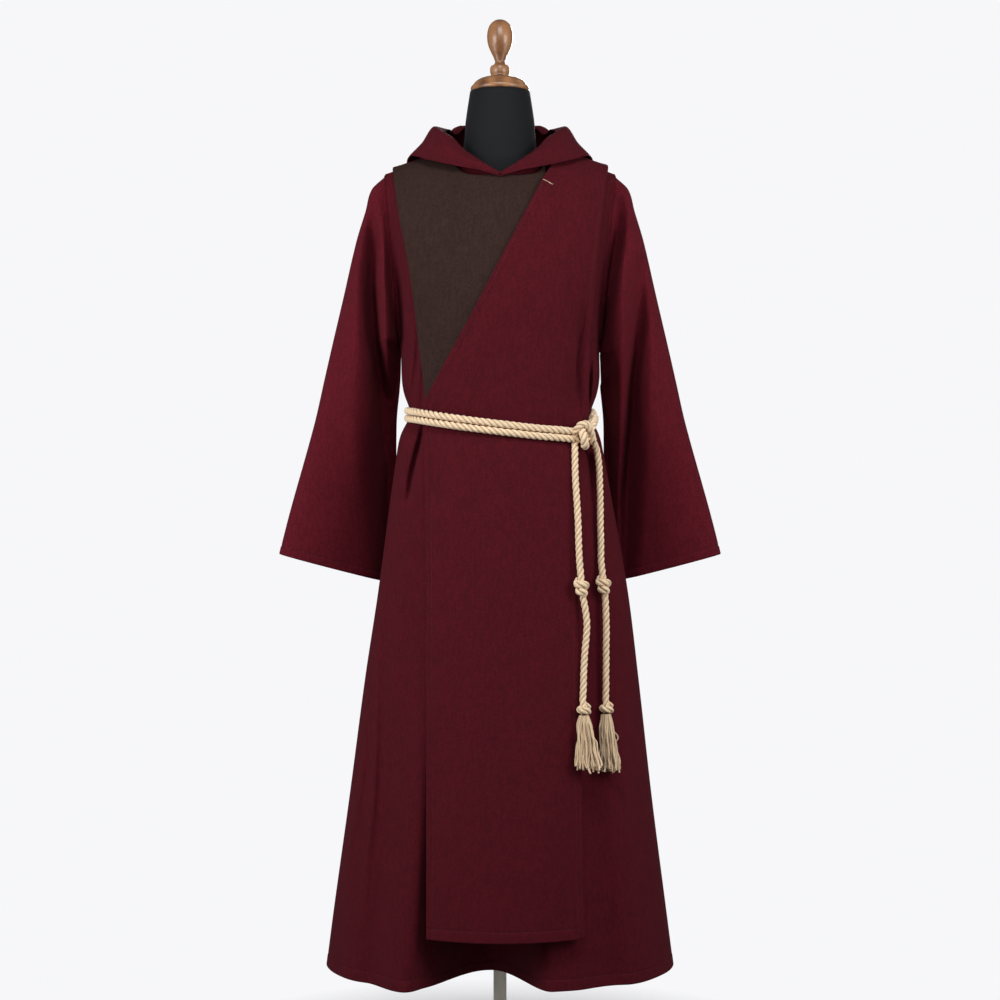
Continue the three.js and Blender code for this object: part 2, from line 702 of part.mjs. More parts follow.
add("robe_front", robePanel("front"), maroonWool());
add("robe_back", robePanel("back"), maroonWool());
add("sleeve_right", sleeve("right"), maroonWool());
add("sleeve_left", sleeve("left"), maroonWool());

// ---------- Scapular ----------

// Top edge of a panel that crosses the neck: shoulder seams, and a neckline that dips to `low`.
const neckedTop = (low) => (x) => {
  const across = Math.abs(x) / SCAPULAR_NECK_X;
  return across < 1 ? lerp(low, ridgeZ(SCAPULAR_NECK_X), across ** NECK_RISE_POWER) : ridgeZ(x);
};

// A panel that lies on the robe between two edges, up to `topZ` at each place across. `lift` is how
// far its outer face stands off the robe, and `swing` how much further its edges and its middle hang
// clear at the foot.
function scapularPanel({ side, edges, columns, lift, topZ, swing = { edge: 0, middle: 0 } }) {
  const foot = edges[0].z;
  const heights = [foot, ...ROBE_ROWS.filter((z) => z > foot)];
  const edgeAt = (z, v) => lerp(smooth(edges, "z", "left", z), smooth(edges, "z", "right", z), v);
  const rows = heights.map((z) =>
    columns.map((v) => {
      const x = edgeAt(z, v);
      const p = overRobe(side, x, z, lift(x));
      const drop = clamp((SWING_HEAD_Z - z) / (SWING_HEAD_Z - foot), 0, 1);
      const middle = 1 - (2 * v - 1) ** 2;
      p.y += outwards(side) * drop * lerp(swing.edge, swing.middle, middle);
      return p;
    }),
  );
  for (const share of ROBE_UPPER_SHARES) {
    rows.push(
      columns.map((v) => {
        // A slanted edge moves the place across as it climbs, so the two are settled in turns.
        let x = edgeAt(UNDERARM_Z, v);
        let z = UNDERARM_Z;
        for (let pass = 0; pass < SETTLING_PASSES; pass += 1) {
          z = lerp(UNDERARM_Z, topZ(x), share);
          x = edgeAt(z, v);
        }
        if (ridgeZ(x) - z > 0.5) return overRobe(side, x, z, lift(x));
        const onSeam = point(x, (outwards(side) * SEAM_GAP) / 2, ridgeZ(x));
        return onSeam.addScaledVector(ridgeNormal(x), lift(x));
      }),
    );
  }
  if (side === "back") rows.forEach((row) => row.reverse());
  const top = rows.length - 1;
  const leaning = (i, j) => {
    const { x } = rows[i][j];
    return i === top && Math.abs(x) >= SCAPULAR_NECK_X - 1 ? ridgeNormal(x) : null;
  };
  return clothWall(rows, SCAPULAR_CLOTH, { leaning });
}

const evenly = (count) => Array.from({ length: count + 1 }, (_, k) => k / count);

// The back rises from the under-front's height on one shoulder to the over-front's on the other.
const backLift = (x) => lerp(BACK_LIFT, PANEL_LIFT, THREE.MathUtils.smoothstep(x, ...BACK_CLIMB));

const yoke = scapularPanel({
  side: "front",
  edges: YOKE_EDGES,
  columns: YOKE_COLUMNS,
  lift: () => YOKE_LIFT,
  topZ: neckedTop(SCAPULAR_NECK_Z),
});
const overFront = scapularPanel({
  side: "front",
  edges: FRONT_EDGES,
  columns: evenly(10),
  lift: () => PANEL_LIFT,
  topZ: ridgeZ,
  swing: FRONT_SWING,
});
const scapularBack = scapularPanel({
  side: "back",
  edges: BACK_EDGES,
  columns: BACK_COLUMNS,
  lift: backLift,
  topZ: neckedTop(SCAPULAR_BACK_NECK_Z),
  swing: BACK_SWING,
});
add("scapular_yoke", yoke, brownWool());
add("scapular_front", overFront, maroonWool());
add("scapular_back", scapularBack, maroonWool());

// ---------- Hood ----------

// The neckline's points, from the middle of the front round the wearer's right to the middle behind.
function neckHalf() {
  const ring = [];
  for (const side of ["front", "back"]) {
    const neck = unspread(NECK_X / SHOULDER_X) + 0.001;
    const columns = robeColumns(side).filter(({ top }) => top < 0.001 && top > -neck);
    if (side === "front") columns.reverse();
    for (const column of columns) {
      const p = robeUpperPoint(side, column, 1);
      const atSide = NECK_X + p.x < 0.01;
      if (atSide && side === "back") continue;
      ring.push(atSide ? point(-NECK_X, 0, NECK_SIDE_Z) : p);
    }
  }
  return ring;
}

const mirrored = (p) => point(-p.x, p.y, p.z);

// A low band sewn to the robe's neckline all round.
function neckband() {
  const half = neckHalf();
  const other = half.slice(1, -1).reverse().map(mirrored);
  const foot = [...half, ...other].map((p) => point(p.x, p.y, p.z + SEAM_GAP));
  const outward = foot.map((p) => point(p.x / NECK_X ** 2, p.y / BAND_DEPTH ** 2, 0).normalize());
  const rows = [0, NECKBAND_HEIGHT].map((rise) => foot.map((p) => point(p.x, p.y, p.z + rise)));
  rows.forEach((row) => row.reverse());
  const leaning = (i, j) => outward[outward.length - 1 - j];
  return clothWall(rows, ROBE_CLOTH, { closed: true, leaning });
}

// One station of the hood at an angle round the neck, read smoothly from the table.
function hoodStation(turn) {
  const read = (name) => {
    const tables = [0, 1, 2].map((axis) =>
      HOOD.map((row) => ({ turn: row.turn, value: row[name][axis] })),
    );
    return point(...tables.map((table) => smooth(table, "turn", "value", turn)));
  };
  return { low: read("low"), peak: read("peak"), rim: read("rim") };
}

function hoodHalf(side) {
  const half = neckHalf();
  const columns = half.map((seam, k) => {
    const angle = degreesOf(Math.asin(clamp(-seam.x / NECK_X, 0, 1)));
    const turn = seam.y < 0.01 ? angle : 180 - angle;
    const { low, peak, rim } = hoodStation(k === half.length - 1 ? 180 : turn);
    const start = seam.clone();
    start.z += NECKBAND_HEIGHT + 2 * SEAM_GAP;
    start.x = Math.min(start.x, -SEAM_GAP);
    const over = start.clone().lerp(low, HOOD_RISE_AT);
    over.z += HOOD_RISE * start.distanceTo(low);
    const section = through([start, over, low, peak, rim]);
    return evenly(HOOD_ROWS).map((t) => section.getPoint(t));
  });
  const rows = evenly(HOOD_ROWS).map((_, i) => columns.map((column) => column[i]));
  const leaning = (i, j, natural) => {
    if (j > 0 && j < half.length - 1) return null;
    return point(0, natural.y, natural.z).normalize();
  };
  const facing = rows.map((row) => (side === "left" ? row.map(mirrored) : row.toReversed()));
  return clothWall(facing, ROBE_CLOTH, { leaning });
}

add("hood_neckband", neckband(), maroonWool());
add("hood_right", hoodHalf("right"), maroonWool());
add("hood_left", hoodHalf("left"), maroonWool());

// ---------- Rope cincture ----------

const raised = (route, by) => route.map(([x, y, z]) => [x, y, z + by]);

// A rope wound round an axis: `along` points down the axis and `aside` starts the first turn. Both
// ends run in to the axis, where the cord carries on.
function windings({ middle, along, aside, coil, pitch, turns, radius, steps }) {
  const axis = point(...along).normalize();
  const first = point(...aside).projectOnPlane(axis).normalize();
  const second = axis.clone().cross(first);
  const route = [];
  const half = (turns * pitch) / 2;
  const count = Math.round(turns * POINTS_A_TURN);
  for (let k = -1; k <= count + 1; k += 1) {
    const inside = k < 0 || k > count;
    const angle = (2 * Math.PI * turns * clamp(k, 0, count)) / count;
    const reach = inside ? 0 : coil;
    const runIn = inside ? Math.sign(k) * radius : 0;
    const travel = lerp(-half, half, clamp(k, 0, count) / count) + runIn;
    const p = point(...middle)
      .addScaledVector(axis, travel)
      .addScaledVector(first, reach * Math.cos(angle))
      .addScaledVector(second, reach * Math.sin(angle));
    route.push(p.toArray());
  }
  return rope(route, radius, steps);
}

// A closed solid through rings of points, with a flat cap at each end.
function loft(rings) {
  const around = rings[0].length;
  const positions = rings.flat().flatMap((p) => [p.x, p.y, p.z]);
  const indices = [];
  for (let i = 0; i < rings.length - 1; i += 1) {
    for (let k = 0; k < around; k += 1) {
      const next = (k + 1) % around;
      const low = i * around;
      const high = low + around;
      indices.push(low + k, low + next, high + next, low + k, high + next, high + k);
    }
  }
  for (const [ring, up] of [[0, false], [rings.length - 1, true]]) {
    const start = ring * around;
    for (let k = 1; k < around - 1; k += 1) {
      if (up) indices.push(start, start + k, start + k + 1);
      else indices.push(start, start + k + 1, start + k);
    }
  }
  const geometry = new THREE.BufferGeometry();
  geometry.setAttribute("position", new THREE.Float32BufferAttribute(positions, 3));
  geometry.setIndex(indices);
  return geometry;
}

// A level oval ring, deeper behind than in front where asked.
function ovalRing({ x = 0, y = 0, z, half, front, back, around }) {
  const ring = [];
  for (let k = 0; k < around; k += 1) {
    const angle = (2 * Math.PI * k) / around;
    const sine = Math.sin(angle);
    ring.push(point(x + half * Math.cos(angle), y + (sine < 0 ? front : back) * sine, z));
  }
  return ring;
}

// The yarn of a tassel as one plain solid of its reach, flaring to its foot.
function tassel(top, { foot, width, depth }) {
  const rings = TASSEL_FLARE.map(({ down, share }) => {
    const half = lerp(TASSEL_NECK, width / 2, share);
    const deep = lerp(TASSEL_NECK, depth / 2, share);
    const [x, y, z] = [0, 1, 2].map((axis) => lerp(top[axis], foot[axis], down));
    return ovalRing({ x, y, z, half, front: deep, back: deep, around: 10 });
  });
  return loft(rings.reverse());
}

add("belt_turn_upper", rope(raised(BELT_ROUTE, TURN_OFFSET), ROPE_RADIUS, TURN_STEPS), naturalRope());
add("belt_turn_lower", rope(raised(BELT_ROUTE, -TURN_OFFSET), ROPE_RADIUS, TURN_STEPS), naturalRope());
add("belt_knot", windings(BELT_KNOT), naturalRope());

for (const [name, end] of [["near", NEAR_END], ["far", FAR_END]]) {
  const below = [end.last[0], end.last[1], end.last[2] - TASSEL_DROP];
  add(`${name}_cord_upper`, rope(end.upper, CORD_RADIUS, CORD_STEPS), naturalRope());
  add(`${name}_knot_middle`, windings({ ...MIDDLE_KNOT, middle: end.middle }), naturalRope());
  add(`${name}_cord_lower`, rope(end.lower, CORD_RADIUS, CORD_STEPS), naturalRope());
  add(`${name}_knot_last`, windings({ ...LAST_KNOT, middle: end.last }), naturalRope());
  add(`${name}_tassel`, tassel(below, end.tassel), naturalRope());
}

// ---------- Dress form ----------

add("form_torso", loft(FORM.map((row) => ovalRing({ ...row, around: 20 }))), blackJersey());

add("neck_cap", turned(NECK_CAP, 20), turnedWood());
add("finial", turned(FINIAL, 16), turnedWood());

const poleFoot = BASE_HEIGHT + SEAM_GAP;
const pole = new THREE.CylinderGeometry(POLE_RADIUS, POLE_RADIUS, POLE_TOP - poleFoot, 16);
pole.rotateX(Math.PI / 2);
pole.translate(0, 0, (POLE_TOP + poleFoot) / 2);
add("stand_pole", pole, satinSteel());
add("stand_base", turned(BASE_PROFILE, 32), satinSteel());

export default habit;
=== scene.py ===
import math

import bpy
import numpy as np
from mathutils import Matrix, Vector


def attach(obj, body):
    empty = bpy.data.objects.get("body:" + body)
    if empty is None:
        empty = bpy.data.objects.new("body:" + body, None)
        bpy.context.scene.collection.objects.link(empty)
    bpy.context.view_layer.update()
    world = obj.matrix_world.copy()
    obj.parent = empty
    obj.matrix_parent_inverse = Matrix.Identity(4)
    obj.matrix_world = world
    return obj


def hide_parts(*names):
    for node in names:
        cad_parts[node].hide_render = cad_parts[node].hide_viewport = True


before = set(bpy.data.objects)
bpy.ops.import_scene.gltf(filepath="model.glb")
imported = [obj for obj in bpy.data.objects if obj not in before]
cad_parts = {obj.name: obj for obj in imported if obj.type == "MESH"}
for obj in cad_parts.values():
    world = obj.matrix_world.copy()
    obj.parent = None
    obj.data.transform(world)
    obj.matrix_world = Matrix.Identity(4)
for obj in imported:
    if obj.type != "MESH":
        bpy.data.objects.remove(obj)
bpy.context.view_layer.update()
scene = bpy.context.scene


# ---------- Camera ----------
# A long lens looks level at the middle of the habit from 3.6 m in front of it, so that upright edges
# stay upright and the whole stand fits in view.

CAMERA_DISTANCE = 3.6
CAMERA_HEIGHT = 0.908
VIEW_WIDTH = 1.65  # what the lens takes in where the habit stands

lens = bpy.data.cameras.new("camera")
lens.sensor_width = 36
lens.lens = lens.sensor_width * CAMERA_DISTANCE / VIEW_WIDTH
camera = bpy.data.objects.new("camera", lens)
camera.location = (0, -CAMERA_DISTANCE, CAMERA_HEIGHT)
camera.rotation_euler = (math.radians(90), 0, 0)
scene.collection.objects.link(camera)
scene.camera = camera


# ---------- Rope ----------
# The belt is one length of undyed cotton rope of three strands, each twisted from soft yarns. A strand
# is swept along the rope's middle line while it winds round it.

BELT_ROPE = 0.0122  # diameter round the waist
HANGING_ROPE = 0.0112  # the ends are drawn a little thinner by their own weight
ROPE_LAY = 0.030  # length in which a strand winds once round
STRANDS = 3
STRAND_SHARE = 0.485  # a strand's radius against the rope's
STRAND_SIDES = 10
GROOVE_FROM = 0.90  # where the painted shade between the strands begins, and over how much it deepens, against the radius
GROOVE_DEPTH = 0.30
ROUTE_STEP = 0.0025
FINE_STEPS = 40  # points between two given ones, before they are spaced evenly
SHORTEST = 1e-9


def smooth_route(points, step=ROUTE_STEP, count=None):
    """Even points on the soft curve through given ones, which turns least where they lie close."""
    p = np.array(points, float)
    p = np.vstack([2 * p[0] - p[1], p, 2 * p[-1] - p[-2]])
    fine = []
    for a, b, c, d in zip(p, p[1:], p[2:], p[3:]):
        ab, bc, cd = (max(np.linalg.norm(v), SHORTEST) ** 0.5 for v in (b - a, c - b, d - c))
        start = ((b - a) / ab - (c - a) / (ab + bc) + (c - b) / bc) * bc
        leave = ((c - b) / bc - (d - b) / (bc + cd) + (d - c) / cd) * bc
        t = np.linspace(0, 1, FINE_STEPS, endpoint=False)[:, None]
        rise = c - b
        fine.append(b + t * (start + t * (3 * rise - 2 * start - leave + t * (start + leave - 2 * rise))))
    fine = np.vstack([*fine, p[-2]])
    far = np.concatenate([[0], np.cumsum(np.linalg.norm(np.diff(fine, axis=0), axis=1))])
    count = count or max(2, round(far[-1] / step)) + 1
    even = np.linspace(0, far[-1], count)
    return np.column_stack([np.interp(even, far, fine[:, axis]) for axis in range(3)])


def placed(name, data):
    """A new object of a mesh, curve or lamp, put into the scene."""
    made = bpy.data.objects.new(name, data)
    scene.collection.objects.link(made)
    return made


def curve_object(name, routes):
    """One curve object with an open spline along each route."""
    data = bpy.data.curves.new(name, "CURVE")
    data.dimensions = "3D"
    for route in routes:
        spline = data.splines.new("POLY")
        spline.points.add(len(route) - 1)
        spline.points.foreach_set("co", np.column_stack([route, np.ones(len(route))]).ravel())
    return placed(name, data)


class Tree:
    """A geometry node tree in the making: named inputs, nodes by their kind, and links as they are named."""

    def __init__(self, name, inputs):
        self.tree = bpy.data.node_groups.new(name, "GeometryNodeTree")
        self.sockets = {}
        for way in ("INPUT", "OUTPUT"):
            self.tree.interface.new_socket("Geometry", in_out=way, socket_type="NodeSocketGeometry")
        for label, kind in inputs.items():
            made = self.tree.interface.new_socket(label, in_out="INPUT", socket_type=kind)
            self.sockets[label] = made.identifier
        self.entry = self.tree.nodes.new("NodeGroupInput")
        self.exit = self.tree.nodes.new("NodeGroupOutput")

    def node(self, kind, settings=None, **links):
        """A node; a link is given by its input's name, with _ for a space, or by i0, i1 and so on."""
        made = self.tree.nodes.new(kind)
        for key, value in (settings or {}).items():
            setattr(made, key, value)
        for label, value in links.items():
            if label[0] == "i" and label[1:].isdigit():
                socket = made.inputs[int(label[1:])]
            else:
                socket = made.inputs[label.replace("_", " ")]
            self.feed(socket, value)
        return made

    def feed(self, socket, value):
        if isinstance(value, bpy.types.NodeSocket):
            self.tree.links.new(value, socket)
        elif isinstance(value, bpy.types.Node):
            self.tree.links.new(value.outputs[0], socket)
        else:
            socket.default_value = value

    def math(self, operation, a, b=0.0):
        return self.node("ShaderNodeMath", {"operation": operation}, i0=a, i1=b).outputs[0]

    def vector(self, operation, a, b=None, scale=None):
        made = self.node("ShaderNodeVectorMath", {"operation": operation}, i0=a)
        if b is not None:
            self.feed(made.inputs[1], b)
        if scale is not None:
            self.feed(made.inputs["Scale"], scale)
        return made.outputs["Value" if operation == "LENGTH" else "Vector"]

    def total(self, *parts):
        """The sum of some values, each times its own weight."""
        weighed = [self.math("MULTIPLY", value, weight) for value, weight in parts]
        result = weighed[0]
        for more in weighed[1:]:
            result = self.math("ADD", result, more)
        return result

    def random(self, low, high, seed):
        made = self.node("FunctionNodeRandomValue", {"data_type": "FLOAT"}, i2=low, i3=high, Seed=seed)
        return made.outputs[1]

    def place(self):
        return self.node("GeometryNodeInputPosition").outputs[0]

    def store(self, geometry, label, value, kind="FLOAT"):
        """The geometry with a named value kept at each of its points."""
        return self.node("GeometryNodeStoreNamedAttribute", {"data_type": kind, "domain": "POINT"},
                         Geometry=geometry, Name=label, Value=value)

    def stored(self, label, kind="FLOAT"):
        return self.node("GeometryNodeInputNamedAttribute", {"data_type": kind}, Name=label).outputs[0]

    def ring(self, sides, radius):
        return self.node("GeometryNodeCurvePrimitiveCircle", {"mode": "RADIUS"}, Resolution=sides,
                         Radius=radius).outputs["Curve"]

    def yarn_ring(self, sides, radius):
        """A round section that keeps, for the yarn pattern, where each of its points lies."""
        return self.store(self.ring(sides, radius), "around", self.vector("NORMALIZE", self.place()),
                          "FLOAT_VECTOR")

    def swept(self, line, section):
        return self.node("GeometryNodeCurveToMesh", Curve=line, Profile_Curve=section, Fill_Caps=True)

    def give(self, geometry):
        """Ends the tree: smooth shading, real copies, and the material."""
        smooth = self.node("GeometryNodeSetShadeSmooth", Geometry=geometry)
        solid = self.node("GeometryNodeRealizeInstances", Geometry=smooth)
        material = self.entry.outputs["Material"]
        painted = self.node("GeometryNodeSetMaterial", Geometry=solid, Material=material)
        self.feed(self.exit.inputs["Geometry"], painted)
        return self


def grown(name, start, tree, values, material):
    """The plain mesh that a geometry node tree makes from an object, which is then removed."""
    modifier = start.modifiers.new(tree.tree.name, "NODES")
    modifier.node_group = tree.tree
    for label, value in values.items():
        modifier[tree.sockets[label]] = value
    bpy.context.view_layer.update()
    evaluated = start.evaluated_get(bpy.context.evaluated_depsgraph_get())
    mesh = bpy.data.meshes.new_from_object(evaluated)
    mesh.name = name
    if not mesh.materials:
        mesh.materials.append(material)
    bpy.data.objects.remove(start)
    return placed(name, mesh)


def laid_rope_tree():
    """Winds the strands round each spline and keeps, for the yarn pattern, where a point lies on them, and
    how far down between the strands it lies, for the painted shade there.
    """
    g = Tree("laid rope", {"Radius": "NodeSocketFloat", "Material": "NodeSocketMaterial"})
    radius = g.entry.outputs["Radius"]
    strand = g.math("MULTIPLY", radius, STRAND_SHARE)
    aside = g.math("SUBTRACT", radius, strand)
    level = g.node("GeometryNodeSetCurveNormal", {"mode": "MINIMUM_TWIST"}, Curve=g.entry.outputs["Geometry"])
    far = g.node("GeometryNodeSplineParameter").outputs["Length"]
    along = g.store(g.store(level, "along", far), "middle", g.place(), "FLOAT_VECTOR")
    tangent = g.node("GeometryNodeInputTangent")
    normal = g.node("GeometryNodeInputNormal")
    across = g.vector("CROSS_PRODUCT", tangent.outputs[0], normal.outputs[0])
    section = g.yarn_ring(STRAND_SIDES, strand)
    turn = g.math("MULTIPLY", g.math("DIVIDE", far, ROPE_LAY), 2 * math.pi)
    join = g.node("GeometryNodeJoinGeometry")
    for k in range(STRANDS):
        angle = g.math("ADD", turn, 2 * math.pi * k / STRANDS)
        east = g.vector("SCALE", normal.outputs[0], scale=g.math("MULTIPLY", g.math("COSINE", angle), aside))
        north = g.vector("SCALE", across, scale=g.math("MULTIPLY", g.math("SINE", angle), aside))
        moved = g.node("GeometryNodeSetPosition", Geometry=along, Offset=g.vector("ADD", east, north))
        g.feed(join.inputs[0], g.swept(moved, section))
    # Painted shade: how far a point lies down between the strands, which darkens its colour in the material.
    reach = g.vector("SUBTRACT", g.place(), g.stored("middle", "FLOAT_VECTOR"))
    crown = g.math("DIVIDE", g.vector("LENGTH", reach), radius)
    groove_shade_and_yarn_darkness = g.math("DIVIDE", g.math("SUBTRACT", GROOVE_FROM, crown), GROOVE_DEPTH)
    return g.give(g.store(join, "groove_shade_and_yarn_darkness", groove_shade_and_yarn_darkness))


class Shader:
    """A material in the making or, where outputs are named, a group that several materials share."""

    def __init__(self, name, outputs=None):
        if outputs is None:
            self.material = bpy.data.materials.new(name)
            self.material.use_nodes = True
            self.tree = self.material.node_tree
            self.surface = self.tree.nodes["Principled BSDF"]
        else:
            self.tree = bpy.data.node_groups.new(name, "ShaderNodeTree")
            for label in outputs:
                self.tree.interface.new_socket(label, in_out="OUTPUT", socket_type="NodeSocketFloat")
            self.exit = self.tree.nodes.new("NodeGroupOutput")

    node = Tree.node
    feed = Tree.feed
    math = Tree.math
    vector = Tree.vector
    total = Tree.total

    def object_place(self):
        return self.node("ShaderNodeTexCoord").outputs["Object"]

    def stretched(self, up):
        """Object coordinates for a pattern that is longer (less than 1) or shorter up the piece."""
        made = self.node("ShaderNodeMapping", Vector=self.object_place())
        made.inputs["Scale"].default_value = (1.0, 1.0, up)
        return made.outputs[0]

    def blend(self, share, a, b):
        return self.node("ShaderNodeMix", {"data_type": "RGBA"}, i0=share, i6=a, i7=b).outputs[2]

    def ramp(self, value, low, high, to_low=0.0, to_high=1.0):
        return self.node("ShaderNodeMapRange", {"clamp": True}, Value=value, From_Min=low, From_Max=high,
                         To_Min=to_low, To_Max=to_high).outputs[0]

    def noise(self, vector, scale, detail=2.0, roughness=0.5):
        return self.node("ShaderNodeTexNoise", Vector=vector, Scale=scale, Detail=detail,
                         Roughness=roughness).outputs["Fac"]

    def bump(self, height, distance, strength):
        return self.node("ShaderNodeBump", Height=height, Distance=distance, Strength=strength).outputs[0]

    def finish(self, colour, roughness, normal, **fixed):
        self.feed(self.surface.inputs["Base Color"], colour)
        self.feed(self.surface.inputs["Roughness"], roughness)
        self.feed(self.surface.inputs["Normal"], normal)
        for label, value in fixed.items():
            self.surface.inputs[label.replace("_", " ")].default_value = value
        return self.material


STRAND_YARNS = 9
YARN_LAY = 0.019  # length in which a yarn winds once round its strand


def natural_cotton():
    """Undyed cotton: fine yarns wound round each strand, painted paler where they stand up and darker between
    them and down in the grooves between the strands, as painted highlight and shade, with a soft fuzz.
    """
    m = Shader("natural cotton rope")
    around, along, groove_shade_and_yarn_darkness = (m.node("ShaderNodeAttribute", {"attribute_name": name}).outputs
                             for name in ("around", "along", "groove_shade_and_yarn_darkness"))
    split = m.node("ShaderNodeSeparateXYZ", i0=around["Vector"])
    angle = m.math("ARCTAN2", split.outputs[1], split.outputs[0])
    wind = m.math("MULTIPLY", along["Fac"], -2 * math.pi / YARN_LAY)
    phase = m.math("MULTIPLY", m.math("ADD", angle, wind), STRAND_YARNS / 2)
    yarn = m.math("ABSOLUTE", m.math("COSINE", phase))
    place = m.object_place()
    fuzz = m.noise(place, 1600, 3, 0.65)
    patch = m.noise(place, 90, 2)
    # The yarn pattern is painted into the colour, paler on each yarn's crown and darker between yarns, as
    # painted highlight and shade.
    tone = m.total((yarn, 0.55), (fuzz, 0.45))
    pale = m.blend(patch, (0.93, 0.70, 0.46, 1), (0.98, 0.80, 0.57, 1))
    colour = m.blend(m.ramp(tone, 0.15, 0.75), (0.62, 0.41, 0.22, 1), pale)
    # Painted shade in the grooves between the strands; on a tassel the same value is each yarn's random
    # darkness.
    colour = m.blend(m.ramp(groove_shade_and_yarn_darkness["Fac"], 0, 1, 0, 0.80), colour, (0.27, 0.15, 0.065, 1))
    height = m.total((yarn, 0.7), (fuzz, 0.3))
    return m.finish(colour, m.ramp(fuzz, 0.2, 0.8, 0.75, 0.95), m.bump(height, 0.0005, 0.8),
                    Sheen_Weight=0.25, Sheen_Roughness=0.5)


laid_rope = laid_rope_tree()
cotton = natural_cotton()


def rope_along(name, routes, diameter):
    start = curve_object(name + "_line", routes)
    return grown(name, start, laid_rope, {"Radius": diameter / 2, "Material": cotton}, cotton)


# ---------- Belt ----------
# The rope goes twice round the waist, one turn above the other, dipping to the wearer's left in front,
# and both turns run into the knot.

BELT_ROUTE = [
    (0.1250, -0.097, 1.0105), (0.1155, -0.104, 1.0120), (0.0920, -0.115, 1.0140),
    (0.0630, -0.125, 1.0160), (0.0080, -0.133, 1.0220), (-0.0480, -0.129, 1.0290),
    (-0.0950, -0.114, 1.0360), (-0.1310, -0.082, 1.0430), (-0.1440, -0.050, 1.0460),
    (-0.1510, -0.018, 1.0480), (-0.1510, 0.024, 1.0500), (-0.1340, 0.074, 1.0510),
    (-0.0950, 0.106, 1.0510), (-0.0350, 0.125, 1.0510), (0.0350, 0.128, 1.0510),
    (0.0950, 0.109, 1.0510), (0.1350, 0.075, 1.0510), (0.1510, 0.024, 1.0490), (0.1530, -0.020, 1.0420),
    (0.1490, -0.050, 1.0330), (0.1460, -0.074, 1.0240),
]
TURN_GAP = 0.0001
TURN_OFFSET = BELT_ROPE / 2 + TURN_GAP  # a turn's middle above or below the pair's

for name, rise in (("belt_turn_upper", TURN_OFFSET), ("belt_turn_lower", -TURN_OFFSET)):
    turn = rope_along("rope_" + name, [smooth_route([(x, y, z + rise) for x, y, z in BELT_ROUTE])], BELT_ROPE)
    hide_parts(name)
    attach(turn, "root")


# ---------- Belt knot ----------
# A square knot pulled tight at the wearer's left. One rope arches over the top into the far end, one
# doubles down in front of it, and one comes round from behind under the arch.

KNOT_ARCH = [
    (0.1190, -0.094, 1.0100), (0.1215, -0.103, 1.0170), (0.1265, -0.110, 1.0260),
    (0.1345, -0.112, 1.0300), (0.1425, -0.107, 1.0250), (0.1470, -0.099, 1.0140),
    (0.1495, -0.091, 1.0040),
]
KNOT_BIGHT = [
    (0.1300, -0.089, 1.0250), (0.1315, -0.104, 1.0200), (0.1335, -0.114, 1.0110),
    (0.1350, -0.114, 1.0020), (0.1360, -0.106, 0.9955), (0.1370, -0.095, 0.9960),
    (0.1375, -0.088, 1.0020),
]
KNOT_BEHIND = [
    (0.1545, -0.050, 1.0440), (0.1535, -0.068, 1.0370), (0.1500, -0.086, 1.0280),
    (0.1450, -0.095, 1.0170), (0.1400, -0.096, 1.0080), (0.1330, -0.092, 1.0020),
]
BIGHT_ROPE = 0.0138  # doubled back on itself, it stands a little thicker

knot = rope_along("rope_belt_knot", [smooth_route(KNOT_ARCH), smooth_route(KNOT_BEHIND)], BELT_ROPE)
bight = rope_along("rope_belt_bight", [smooth_route(KNOT_BIGHT)], BIGHT_ROPE)
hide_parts("belt_knot")
for piece in (knot, bight):
    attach(piece, "root")


# ---------- Hanging ends ----------
# Both ends of the rope hang in front of the skirt, with an overhand knot half way down and another
# above the tassel, where the rope is unlaid into its yarns.

NEAR_UPPER = [
    (0.1205, -0.096, 1.004), (0.1200, -0.106, 0.990), (0.1200, -0.1115, 0.965), (0.1205, -0.117, 0.940),
    (0.1220, -0.1215, 0.915), (0.1235, -0.1255, 0.8895), (0.1245, -0.130, 0.8645), (0.1250, -0.134, 0.839),
    (0.1260, -0.1385, 0.8135), (0.1280, -0.144, 0.789),
]
NEAR_LOWER = [
    (0.1320, -0.148, 0.7515), (0.1355, -0.1475, 0.7315), (0.1375, -0.148, 0.7115), (0.1365, -0.149, 0.6915),
    (0.1345, -0.151, 0.6715), (0.1330, -0.154, 0.6515), (0.1320, -0.1575, 0.6315), (0.1315, -0.161, 0.612),
    (0.1305, -0.165, 0.592),
]
FAR_UPPER = [
    (0.1500, -0.088, 1.002), (0.1560, -0.077, 0.990), (0.1600, -0.073, 0.9645), (0.1610, -0.076, 0.9395),
    (0.1615, -0.0825, 0.9145), (0.1615, -0.089, 0.8895), (0.1615, -0.094, 0.8645), (0.1620, -0.097, 0.839),
    (0.1620, -0.1005, 0.8135), (0.1640, -0.108, 0.7905),
]
FAR_LOWER = [
    (0.1680, -0.113, 0.754), (0.1690, -0.116, 0.734), (0.1695, -0.1185, 0.714), (0.1695, -0.1215, 0.6935),
    (0.1690, -0.124, 0.6735), (0.1690, -0.1265, 0.6535), (0.1685, -0.129, 0.6335), (0.1685, -0.1315, 0.613),
    (0.1680, -0.134, 0.593),
]
ENDS = {
    "near": {"upper": NEAR_UPPER, "lower": NEAR_LOWER, "middle": (0.1295, -0.147, 0.770),
             "last": (0.132, -0.170, 0.578), "foot": (0.138, -0.192, 0.486), "width": 0.047,
             "depth": 0.027, "yarns": 48, "seed": 4},
    "far": {"upper": FAR_UPPER, "lower": FAR_LOWER, "middle": (0.166, -0.112, 0.772),
            "last": (0.169, -0.137, 0.577), "foot": (0.175, -0.156, 0.481), "width": 0.036,
            "depth": 0.028, "yarns": 40, "seed": 9},
}
